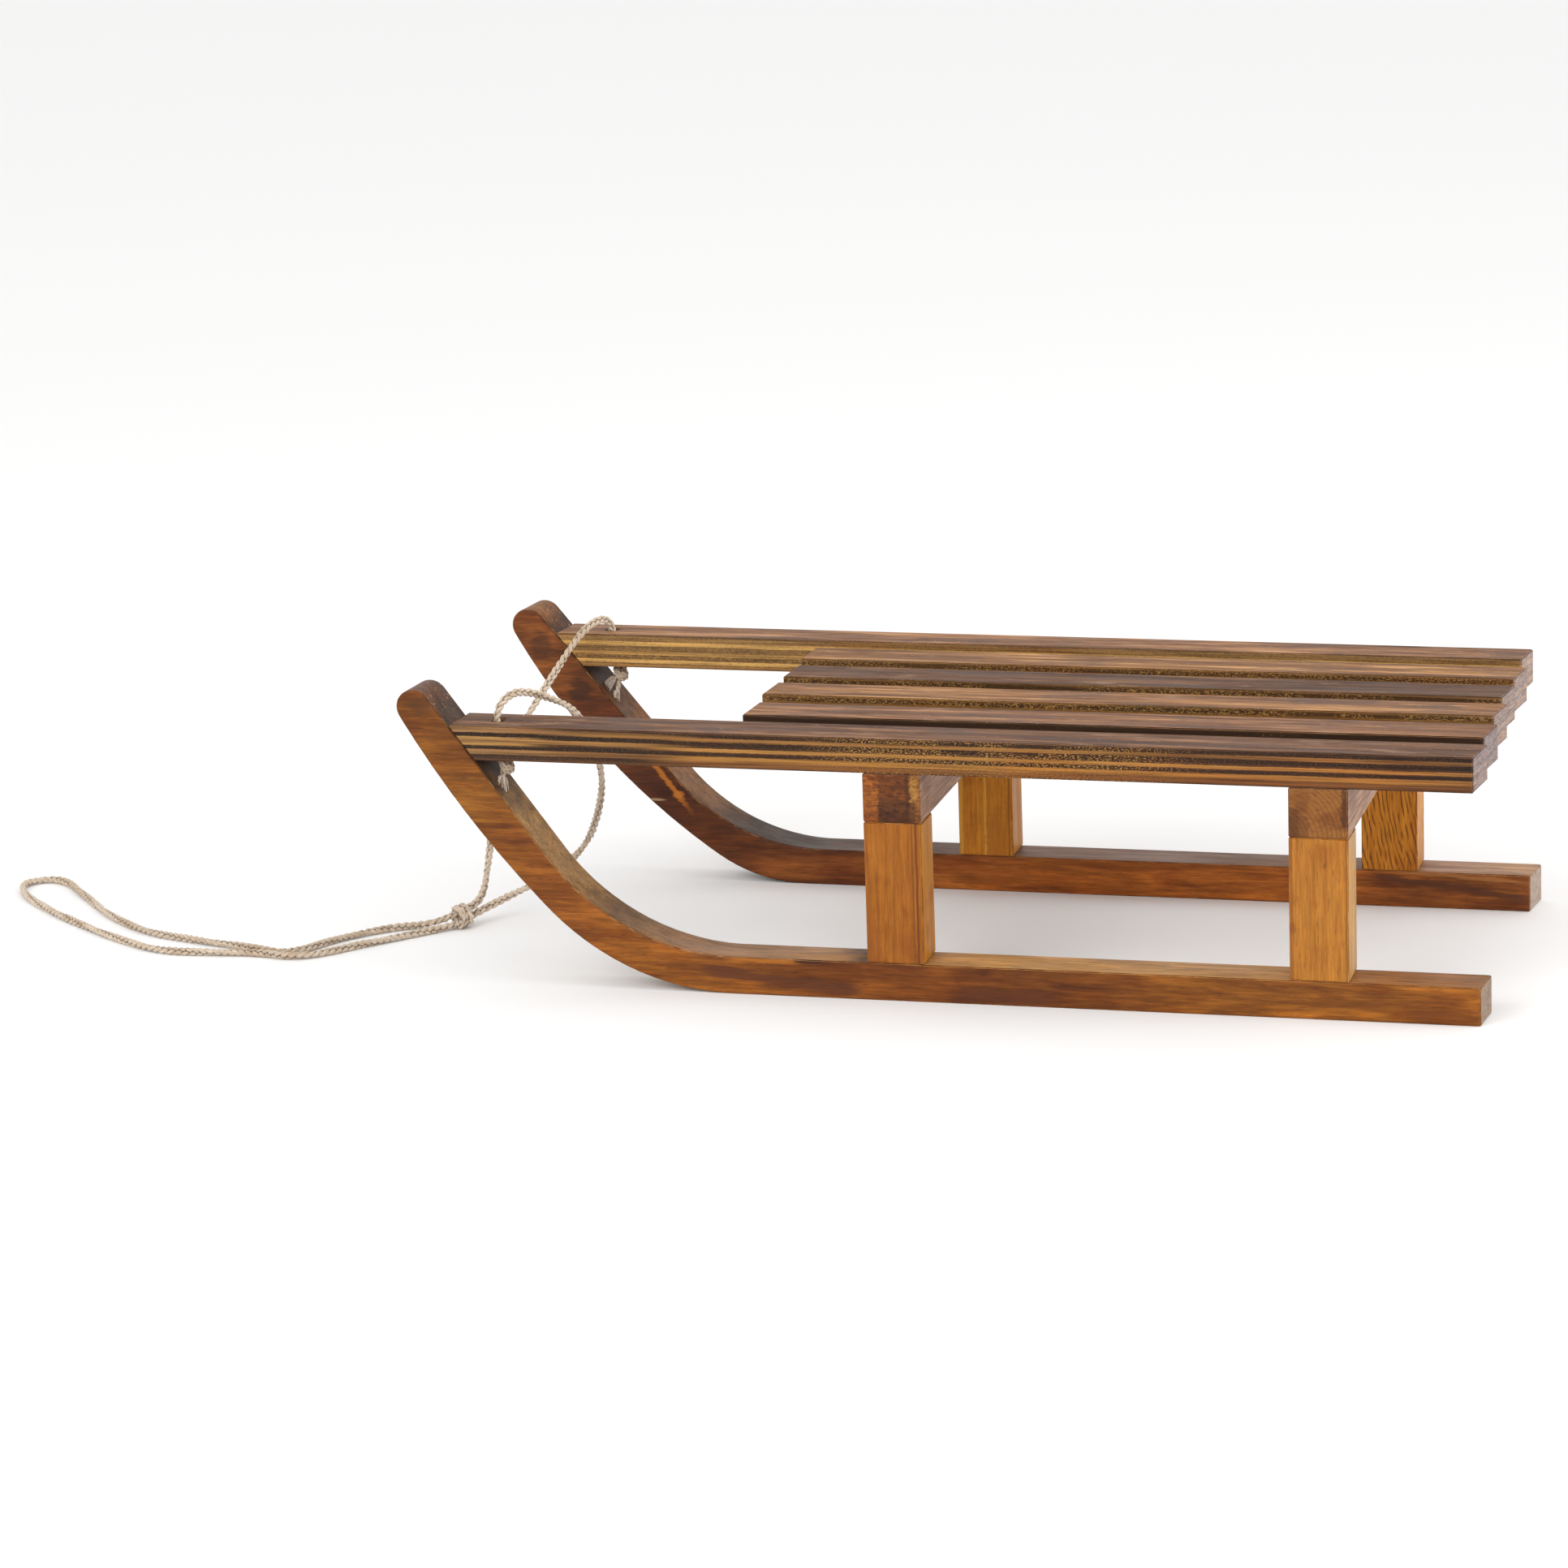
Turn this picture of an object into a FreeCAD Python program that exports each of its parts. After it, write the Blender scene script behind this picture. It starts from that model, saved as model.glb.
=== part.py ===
import FreeCAD, Part

import math
import os

from collections import namedtuple
from FreeCAD import Vector

# A small wooden sledge: two solid-wood runners with turned-up toes, four posts, two
# crossbeams and a slatted plywood seat whose outer slats run forward as side rails.
# A jute tow rope is tied through both rails. Millimetres; +Z up, the toes point to -X.
# The origin is on the ground, at the middle of the sledge's length and width.

# ---- driving dimensions -------------------------------------------------------------

WIDTH = 228.0
EDGE_ROUND = 0.7            # the eased edges of every sawn piece
REAR_SKEW = math.radians(7.0)   # the slats' rear ends are sawn this far out of square
FRONT_SKEW = math.radians(4.0)  # and their front ends this far

RUNNER_WIDTH = 24.0
RUNNER_THICKNESS = 19.5
TOE_RADIUS = 9.0
# The two runners were sawn by hand and differ. A start is where that face leaves the
# flat; the skew is how far the saw was out of square; ends are given on the middle line.
Runner = namedtuple("Runner", (
    "side", "sign", "sole_start", "sole_radius", "sole_angle", "upper_start",
    "upper_radius", "toe_front", "toe_top", "rear", "skew"))
RUNNERS = {
    "near": Runner("near", -1, -102.0, 133.0, 46.0, -102.0, 118.0, -273.5, 152.5, 274.8, 5.0),
    "far": Runner("far", 1, -118.0, 84.0, 34.5, -108.0, 104.5, -276.2, 147.7, 272.7, 7.0),
}

POST_LENGTH = 29.5          # along the sledge
POST_HEIGHT = 72.5
# place, side, front face
POSTS = (
    ("front", "near", -33.0),
    ("front", "far", -33.0),
    ("rear", "near", 180.0),
    ("rear", "far", 183.0),
)
BEAM_HEIGHT = 25.0
BEAMS = (("front", -33.0), ("rear", 180.0))

PLYWOOD = 18.0
# node, middle of its width, width, front end, rear end, both along its middle;
# a rail has no front end here, as it is mitred to its runner
SLATS = (
    ("near_rail", -100.5, 27.0, None, 271.9),
    ("slat_2", -60.5, 27.0, -103.6, 271.6),
    ("slat_3", -17.5, 26.0, -105.1, 270.5),
    ("slat_4", 21.0, 26.0, -104.0, 269.3),
    ("slat_5", 60.5, 26.0, -104.9, 270.2),
    ("far_rail", 102.0, 24.0, None, 268.3),
)
RAILS = {"near_rail": "near", "far_rail": "far"}

SCREW_DIAMETER = 4.0
SCREW_HEAD_DIAMETER = 8.0
SCREW_HEAD_DEPTH = 2.2
SCREW_RECESS = 0.8          # how far a head sits below the face
SCREW_POINT = 4.0
RUNNER_SCREW_LENGTH = 45.0
SLAT_SCREW_LENGTH = 36.0
POST_DOWEL_DIAMETER = 8.0
POST_DOWEL_IN_POST = 22.0
POST_DOWEL_IN_RAIL = 10.0
TOE_DOWEL_DIAMETER = 6.0
TOE_DOWEL_IN_RUNNER = 12.0
TOE_DOWEL_IN_RAIL = 20.0

ROPE_DIAMETER = 4.0
ROPE_HOLE_DIAMETER = 7.0
ROPE_HOLE_X = -225.0
STOPPER_RADIUS = 5.2
STOPPER_DROP = 3.0          # middle of a stopper knot below the rail's underside
TAIL_LENGTH = 11.0
TAIL_RADIUS = 1.8
TAIL_FRAY_RADIUS = 2.8
TAIL_LEAN = math.radians(32.0)
TOW_KNOT = Vector(-277.0, -17.0, 6.0)
TOW_KNOT_RADIUS = 6.0
ARC_SHARE = 0.45            # the part of a run that an arc may take up at each end

# ---- worked-out heights and places --------------------------------------------------

POST_TOP = RUNNER_THICKNESS + POST_HEIGHT
BEAM_TOP = POST_TOP + BEAM_HEIGHT
SEAT_TOP = BEAM_TOP + PLYWOOD
HALF_WIDTH = WIDTH / 2
RUNNER_Y = HALF_WIDTH - RUNNER_WIDTH / 2
RAIL_Y = {"near": SLATS[0][1], "far": SLATS[-1][1]}
ROPE_RADIUS = ROPE_DIAMETER / 2

# The tow rope, from the stopper knot under the near rail to the one under the far rail.
# It goes up through the near rail, over its inner edge, down to the tow knot on the
# ground, out round the tow loop, back through the knot and up to the far rail.
ROPE_ROUTE = (
    (ROPE_HOLE_X, RAIL_Y["near"], BEAM_TOP),
    (-225.3, -100.3, 127.5),
    (-225.8, -100.5, 138.5),
    (-222.5, -97.5, 145.5),
    (-216.5, -90.0, 148.0),
    (-207.0, -76.0, 142.0),
    (-196.0, -55.5, 129.5),
    (-189.5, -41.0, 97.0),
    (-193.5, -33.0, 74.0),
    (-207.0, -20.0, 46.0),
    (-236.0, -4.0, 24.0),
    (-258.5, 1.0, 12.0),
    (-272.5, -11.0, 6.0),
    (-280.0, -22.0, 2.2),
    (-297.0, -39.5, 2.0),
    (-314.0, -58.0, 2.0),
    (-343.0, -92.0, 2.0),
    (-368.0, -84.5, 2.0),
    (-392.0, -88.5, 2.0),
    (-422.0, -89.5, 2.0),
    (-456.0, -68.0, 2.0),
    (-496.0, -36.0, 2.0),
    (-527.0, -6.5, 2.0),
    (-543.5, 18.5, 2.0),
    (-538.5, 32.5, 2.0),
    (-524.0, 35.0, 2.0),
    (-505.0, 12.0, 2.0),
    (-473.0, -29.0, 2.0),
    (-441.0, -57.0, 2.0),
    (-406.0, -68.5, 2.0),
    (-376.0, -76.0, 2.0),
    (-350.0, -85.5, 2.0),
    (-334.0, -53.0, 2.0),
    (-314.0, -31.0, 2.0),
    (-293.0, -20.5, 2.2),
    (-280.0, -17.0, 7.5),
    (-269.5, -7.5, 12.0),
    (-269.5, 4.0, 26.0),
    (-270.5, 22.0, 52.0),
    (-264.0, 40.0, 88.0),
    (-245.5, 59.5, 120.0),
    (-235.0, 80.0, 139.5),
    (-228.5, 95.5, 143.0),
    (-225.0, 102.3, 138.0),
    (-225.4, 102.2, 127.5),
    (ROPE_HOLE_X, RAIL_Y["far"], BEAM_TOP),
)


def soften(solid):
    """Ease every edge of a sawn piece."""
    return solid.makeFillet(EDGE_ROUND, solid.Edges)


def block(low, high):
    """A sawn block between two opposite corners."""
    size = high - low
    return soften(Part.makeBox(size.x, size.y, size.z, low))


def prism(corners, way):
    """A flat polygon pushed along a vector."""
    return Part.Face(Part.makePolygon(corners + corners[:1])).extrude(way)


def turned(centre, radius, angle):
    """The point of a bend that the direction of travel has turned up to by angle."""
    return centre + Vector(-radius * math.sin(angle), 0, -radius * math.cos(angle))


def bend(centre, radius, start, end):
    """The arc of a bend between two angles of travel."""
    middle = turned(centre, radius, (start + end) / 2)
    return Part.Arc(turned(centre, radius, start), middle, turned(centre, radius, end)).toShape()


# ---- runner shape -------------------------------------------------------------------

def toe_centre(runner):
    """Centre of the toe's round."""
    return Vector(runner.toe_front + TOE_RADIUS, 0, runner.toe_top - TOE_RADIUS)


def sole_centre(runner):
    """Centre of the sole's bend."""
    return Vector(runner.sole_start, 0, runner.sole_radius)


def upper_centre(runner):
    """Centre of the upper face's bend."""
    return Vector(runner.upper_start, 0, RUNNER_THICKNESS + runner.upper_radius)


def sweep_arc(runner):
    """Centre, radius, start and end angle of the long arc from the sole's bend to the toe.

    It starts in line with the sole's bend and ends in line with the toe's round.
    """
    toe = toe_centre(runner)
    start_angle = math.radians(runner.sole_angle)
    start = turned(sole_centre(runner), runner.sole_radius, start_angle)
    inward = (sole_centre(runner) - start).normalize()
    gap = start - toe
    radius = (TOE_RADIUS ** 2 - gap.dot(gap)) / (2 * (inward.dot(gap) + TOE_RADIUS))
    centre = start + inward * radius
    outward = toe - centre
    return centre, radius, start_angle, math.atan2(-outward.x, -outward.z)


def slope(runner):
    """Angle and foot of the straight upper face, tangent to its bend and to the toe."""
    gap = upper_centre(runner) - toe_centre(runner)
    lean = math.acos((runner.upper_radius + TOE_RADIUS) / gap.Length)
    angle = math.atan2(gap.x, gap.z) - lean
    return angle, turned(upper_centre(runner), runner.upper_radius, angle)


def slope_x(runner, height):
    """Where the straight upper face of a runner is at a height."""
    angle, foot = slope(runner)
    return foot.x - (height - foot.z) / math.tan(angle)


def slant(runner, reach):
    """How far the skew carries an edge along the sledge over a distance across it."""
    return reach * math.tan(math.radians(runner.skew))


def make_runner(runner):
    """One runner: its side outline pushed across, aslant by the skew of the saw."""
    sweep_centre, sweep_radius, sweep_angle, toe_angle = sweep_arc(runner)
    angle, foot = slope(runner)
    toe = toe_centre(runner)
    toe_front = toe + Vector(-math.sin(toe_angle), 0, -math.cos(toe_angle)) * TOE_RADIUS
    toe_tip = toe + Vector(-math.cos(angle), 0, math.sin(angle)) * TOE_RADIUS
    toe_back = toe + Vector(math.sin(angle), 0, math.cos(angle)) * TOE_RADIUS
    sole_front = turned(sole_centre(runner), runner.sole_radius, 0)
    top_front = turned(upper_centre(runner), runner.upper_radius, 0)
    sole_rear = Vector(runner.rear, 0, 0)
    top_rear = sole_rear + Vector(0, 0, RUNNER_THICKNESS)
    outline = Part.Wire([
        Part.makeLine(sole_rear, sole_front),
        bend(sole_centre(runner), runner.sole_radius, 0, sweep_angle),
        bend(sweep_centre, sweep_radius, sweep_angle, toe_angle),
        Part.Arc(toe_front, toe_tip, toe_back).toShape(),
        Part.makeLine(toe_back, foot),
        bend(upper_centre(runner), runner.upper_radius, angle, 0),
        Part.makeLine(top_front, top_rear),
        Part.makeLine(top_rear, sole_rear),
    ])
    across = Vector(slant(runner, RUNNER_WIDTH), RUNNER_WIDTH, 0)
    sawn = soften(Part.Face(outline).extrude(across))
    sawn.translate(Vector(0, runner.sign * RUNNER_Y, 0) - across / 2)
    return sawn


def make_runners():
    """Both runners."""
    return {runner.side + "_runner": make_runner(runner) for runner in RUNNERS.values()}


# ---- posts, crossbeams and seat -----------------------------------------------------

def make_posts():
    """Four posts standing on the runners."""
    posts = {}
    for place, side, front in POSTS:
        inner = RUNNERS[side].sign * RUNNER_Y - RUNNER_WIDTH / 2
        low = Vector(front, inner, RUNNER_THICKNESS)
        high = Vector(front + POST_LENGTH, inner + RUNNER_WIDTH, POST_TOP)
        posts[f"{place}_{side}_post"] = block(low, high)
    return posts


def make_beams():
    """Two crossbeams lying across the posts."""
    beams = {}
    for place, front in BEAMS:
        low = Vector(front, -HALF_WIDTH, POST_TOP)
        high = Vector(front + POST_LENGTH, HALF_WIDTH, BEAM_TOP)
        beams[place + "_crossbeam"] = block(low, high)
    return beams


def slat_blank(middle, width, front, rear):
    """A slat with sharp edges and both ends sawn out of square."""
    half = width / 2
    front_offset = half * math.tan(FRONT_SKEW)
    rear_offset = half * math.tan(REAR_SKEW)
    corners = [
        Vector(front - front_offset, middle - half, BEAM_TOP),
        Vector(rear - rear_offset, middle - half, BEAM_TOP),
        Vector(rear + rear_offset, middle + half, BEAM_TOP),
        Vector(front + front_offset, middle + half, BEAM_TOP),
    ]
    return prism(corners, Vector(0, 0, PLYWOOD))


def make_rail(runner, middle, width, rear):
    """A long slat that is mitred to its runner's slope and bored for the tow rope."""
    low_y = middle - width / 2
    offset = slant(runner, low_y - runner.sign * RUNNER_Y)
    low_front = slope_x(runner, BEAM_TOP) + offset
    top_front = slope_x(runner, SEAT_TOP) + offset
    beyond = top_front - PLYWOOD
    corners = [
        Vector(low_front, low_y, BEAM_TOP),
        Vector(top_front, low_y, SEAT_TOP),
        Vector(beyond, low_y, SEAT_TOP),
        Vector(beyond, low_y, BEAM_TOP),
    ]
    mitre_cut = prism(corners, Vector(slant(runner, width), width, 0))
    blank = slat_blank(middle, width, top_front - PLYWOOD / 2, rear)
    foot = Vector(ROPE_HOLE_X, middle, BEAM_TOP)
    bore = Part.makeCylinder(ROPE_HOLE_DIAMETER / 2, PLYWOOD, foot)
    return soften(blank.cut(mitre_cut)).cut(bore)


def make_slats():
    """The seat's plywood slats; the two outer ones are the side rails."""
    slats = {}
    for node, middle, width, front, rear in SLATS:
        if node in RAILS:
            slats[node] = make_rail(RUNNERS[RAILS[node]], middle, width, rear)
        else:
            slats[node] = soften(slat_blank(middle, width, front, rear))
    return slats


# ---- hidden fixings -----------------------------------------------------------------

def screw(x, y, face_z, length):
    """A countersunk screw driven straight up from a face, and the hole it needs."""
    radius = SCREW_DIAMETER / 2
    head_radius = SCREW_HEAD_DIAMETER / 2
    head_z = face_z + SCREW_RECESS
    neck_z = head_z + SCREW_HEAD_DEPTH
    point_z = head_z + length - SCREW_POINT
    head = Part.makeCone(head_radius, radius, SCREW_HEAD_DEPTH, Vector(x, y, head_z))
    shank = Part.makeCylinder(radius, point_z - neck_z, Vector(x, y, neck_z))
    point = Part.makeCone(radius, 0, SCREW_POINT, Vector(x, y, point_z))
    solid = head.fuse([shank, point]).removeSplitter()
    recess = Part.makeCylinder(head_radius, SCREW_RECESS, Vector(x, y, face_z))
    return solid, solid.fuse(recess)


def post_fixings():
    """The screw and the dowel on each post's axis, and the screws' holes."""
    screws = []
    dowels = []
    holes = []
    for _, side, front in POSTS:
        middle_x = front + POST_LENGTH / 2
        y = RUNNERS[side].sign * RUNNER_Y
        solid, hole = screw(middle_x, y, 0, RUNNER_SCREW_LENGTH)
        screws.append(solid)
        holes.append(hole)
        length = POST_DOWEL_IN_POST + BEAM_HEIGHT + POST_DOWEL_IN_RAIL
        foot = Vector(middle_x, y, POST_TOP - POST_DOWEL_IN_POST)
        dowels.append(Part.makeCylinder(POST_DOWEL_DIAMETER / 2, length, foot))
    return screws, dowels, holes


def seat_fixings():
    """The screws up through the crossbeams into the seat slats, and their holes."""
    screws = []
    holes = []
    for _, front in BEAMS:
        for node, y, _, _, _ in SLATS:
            if node not in RAILS:
                solid, hole = screw(front + POST_LENGTH / 2, y, POST_TOP, SLAT_SCREW_LENGTH)
                screws.append(solid)
                holes.append(hole)
    return screws, holes


def toe_fixings():
    """The dowels that join the rails' mitred ends to the runners."""
    z = BEAM_TOP + PLYWOOD / 2
    length = TOE_DOWEL_IN_RUNNER + TOE_DOWEL_IN_RAIL
    dowels = []
    for runner in RUNNERS.values():
        start = Vector(slope_x(runner, z) - TOE_DOWEL_IN_RUNNER, runner.sign * RUNNER_Y, z)
        dowels.append(Part.makeCylinder(TOE_DOWEL_DIAMETER / 2, length, start, Vector(1, 0, 0)))
    return dowels


# ---- tow rope and knots -------------------------------------------------------------

def rounded_path(route):
    """Straight runs joined by tangent arcs, with the least arc radius and the length."""
    edges = []
    radii = []
    here = route[0]
    for before, corner, after in zip(route, route[1:], route[2:]):
        incoming = corner - before
        outgoing = after - corner
        reach = ARC_SHARE * min(incoming.Length, outgoing.Length)
        turn = incoming.getAngle(outgoing)
        radius = reach / math.tan(turn / 2)
        arc_start = corner - incoming.normalize() * reach
        arc_end = corner + outgoing.normalize() * reach
        centre_line = (arc_start + arc_end) / 2 - corner
        depth = radius / math.cos(turn / 2) - radius
        arc_middle = corner + centre_line.normalize() * depth
        edges.append(Part.LineSegment(here, arc_start).toShape())
        edges.append(Part.Arc(arc_start, arc_middle, arc_end).toShape())
        radii.append(radius)
        here = arc_end
    edges.append(Part.LineSegment(here, route[-1]).toShape())
    return Part.Wire(edges), radii


def make_rope():
    """The tow rope as one plain tube along its route."""
    route = [Vector(*point) for point in ROPE_ROUTE]
    path, radii = rounded_path(route)
    start_circle = Part.Circle(route[0], route[1] - route[0], ROPE_RADIUS)
    section = Part.Wire(start_circle.toShape())
    tube = path.makePipeShell([section], True, False)
    expected = math.pi * ROPE_RADIUS ** 2 * path.Length
    print("rope length", round(path.Length, 1), "volume", round(tube.Volume, 1),
          "of", round(expected, 1))
    print("rope arc radii", [round(radius, 1) for radius in radii])
    return tube


def stopper_knot(rail_y):
    """A knot that can't pass through the rail, with its frayed tail."""
    middle = Vector(ROPE_HOLE_X, rail_y, BEAM_TOP - STOPPER_DROP)
    knot = Part.makeSphere(STOPPER_RADIUS, middle)
    above = Part.makeCylinder(2 * STOPPER_RADIUS, STOPPER_RADIUS, Vector(middle.x, middle.y, BEAM_TOP))
    lean = Vector(-math.sin(TAIL_LEAN), 0, -math.cos(TAIL_LEAN))
    tail = Part.makeCone(TAIL_RADIUS, TAIL_FRAY_RADIUS, TAIL_LENGTH, middle + lean * ROPE_DIAMETER, lean)
    return knot.cut(above).fuse(tail)


def make_cord_pieces():
    """The rope, the knot that closes its tow loop and its two stopper knots."""
    rope = make_rope()
    tow_knot = Part.makeSphere(TOW_KNOT_RADIUS, TOW_KNOT).cut(rope)
    return {
        "tow_rope": rope,
        "tow_knot": tow_knot,
        "near_stopper_knot": stopper_knot(RAIL_Y["near"]),
        "far_stopper_knot": stopper_knot(RAIL_Y["far"]),
    }


# ---- the whole sledge ---------------------------------------------------------------

def make_sledge():
    """Every sub-part by node name."""
    wood = {**make_runners(), **make_posts(), **make_beams(), **make_slats()}
    runner_screws, post_dowels, runner_screw_holes = post_fixings()
    slat_screws, slat_screw_holes = seat_fixings()
    toe_dowels = toe_fixings()
    holes = runner_screw_holes + slat_screw_holes + post_dowels + toe_dowels
    nodes = {node: solid.cut(holes) for node, solid in wood.items()}
    nodes["runner_screws"] = Part.makeCompound(runner_screws)
    nodes["slat_screws"] = Part.makeCompound(slat_screws)
    nodes["post_dowels"] = Part.makeCompound(post_dowels)
    nodes["toe_dowels"] = Part.makeCompound(toe_dowels)
    nodes.update(make_cord_pieces())
    return nodes


os.makedirs("parts", exist_ok=True)
for name, shape in make_sledge().items():
    shape.exportStep(f"parts/{name}.step")
    print(name, len(shape.Solids), round(shape.Volume), shape.isValid())
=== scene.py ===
"""Looks of the small wooden sledge: stained worn wood, plywood edges and a plaited jute tow rope."""
import math
import random

import bmesh
import bpy
from mathutils import Matrix, Vector, noise


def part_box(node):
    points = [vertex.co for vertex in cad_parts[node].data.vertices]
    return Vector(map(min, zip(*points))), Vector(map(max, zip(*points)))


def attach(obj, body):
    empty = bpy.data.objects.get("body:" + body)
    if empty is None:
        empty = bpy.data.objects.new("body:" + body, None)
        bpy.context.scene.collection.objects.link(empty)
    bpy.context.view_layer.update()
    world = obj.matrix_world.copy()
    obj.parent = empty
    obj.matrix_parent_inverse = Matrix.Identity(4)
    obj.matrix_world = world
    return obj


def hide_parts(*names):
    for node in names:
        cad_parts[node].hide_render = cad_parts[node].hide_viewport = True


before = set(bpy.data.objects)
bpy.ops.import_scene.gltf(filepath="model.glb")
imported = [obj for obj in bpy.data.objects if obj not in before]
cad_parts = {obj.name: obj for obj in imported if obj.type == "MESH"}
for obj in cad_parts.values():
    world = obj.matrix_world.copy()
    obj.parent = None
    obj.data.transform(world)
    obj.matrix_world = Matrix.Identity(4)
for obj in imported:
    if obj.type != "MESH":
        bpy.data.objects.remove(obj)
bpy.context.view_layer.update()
MM = 0.001

# ---- camera, floor and light

CAMERA_AT = Vector((0.629418, -2.683484, 0.803746))
CAMERA_AZIMUTH = math.radians(15.288)
CAMERA_ELEVATION = math.radians(14.593)
CAMERA_ROLL = math.radians(-1.976)
CAMERA_LENS = 127.18
LIT_POINT = Vector((0, 0, 0.08))
FLOOR_REACH = 6.0


def camera_matrix():
    """The camera's place and turn, from its azimuth, elevation and roll."""
    flat = math.cos(CAMERA_ELEVATION)
    forward = Vector((-math.sin(CAMERA_AZIMUTH) * flat, math.cos(CAMERA_AZIMUTH) * flat,
                      -math.sin(CAMERA_ELEVATION)))
    level = Vector((math.cos(CAMERA_AZIMUTH), math.sin(CAMERA_AZIMUTH), 0))
    plumb = level.cross(forward)
    right = math.cos(CAMERA_ROLL) * level + math.sin(CAMERA_ROLL) * plumb
    up = -math.sin(CAMERA_ROLL) * level + math.cos(CAMERA_ROLL) * plumb
    turn = Matrix((right, up, -forward)).transposed()
    return Matrix.Translation(CAMERA_AT) @ turn.to_4x4()


def link(obj):
    bpy.context.scene.collection.objects.link(obj)
    return obj


def add_piece(piece, node):
    """Puts a finished piece in the place of its CAD node, on the sledge's one body."""
    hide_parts(node)
    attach(piece, "root")
    return piece


def make_camera():
    data = bpy.data.cameras.new("camera")
    data.lens = CAMERA_LENS
    data.sensor_width = 36
    data.clip_start = 0.05
    data.clip_end = 50
    camera = link(bpy.data.objects.new("camera", data))
    camera.matrix_world = camera_matrix()
    bpy.context.scene.camera = camera


def area_light(name, place, size, watts):
    """A round soft lamp turned to the middle of the sledge."""
    data = bpy.data.lights.new(name, "AREA")
    data.shape = "DISK"
    data.size = size
    data.energy = watts
    lamp = link(bpy.data.objects.new(name, data))
    lamp.location = place
    lamp.rotation_euler = (LIT_POINT - Vector(place)).to_track_quat("-Z", "Y").to_euler()


def make_studio():
    """A plain pale floor, an even pale surround and two soft lamps."""
    world = bpy.data.worlds.new("studio")
    world.use_nodes = True
    background = world.node_tree.nodes["Background"]
    background.inputs["Color"].default_value = (1.0, 1.0, 1.0, 1)
    background.inputs["Strength"].default_value = 1.0
    bpy.context.scene.world = world
    bpy.context.scene.view_settings.view_transform = "Standard"
    bpy.context.scene.view_settings.look = "None"

    area_light("key", (-1.1, -2.0, 1.5), 1.6, 22)
    area_light("fill", (2.0, -0.1, 0.7), 1.2, 24)

    mesh = bpy.data.meshes.new("floor")
    corners = [(x * FLOOR_REACH, y * FLOOR_REACH, 0) for x, y in ((-1, -1), (1, -1), (1, 1), (-1, 1))]
    mesh.from_pydata(corners, [], [(0, 1, 2, 3)])
    floor = link(bpy.data.objects.new("floor", mesh))
    paint = bpy.data.materials.new("floor_paint")
    paint.use_nodes = True
    shader = paint.node_tree.nodes["Principled BSDF"]
    shader.inputs["Base Color"].default_value = (0.90, 0.90, 0.895, 1)
    shader.inputs["Roughness"].default_value = 0.9
    shader.inputs["Specular IOR Level"].default_value = 0.1
    mesh.materials.append(paint)


# ---- shader building

WOOD_SPECULAR = 0.22
PLAIN_SPECULAR = 0.5


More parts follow.
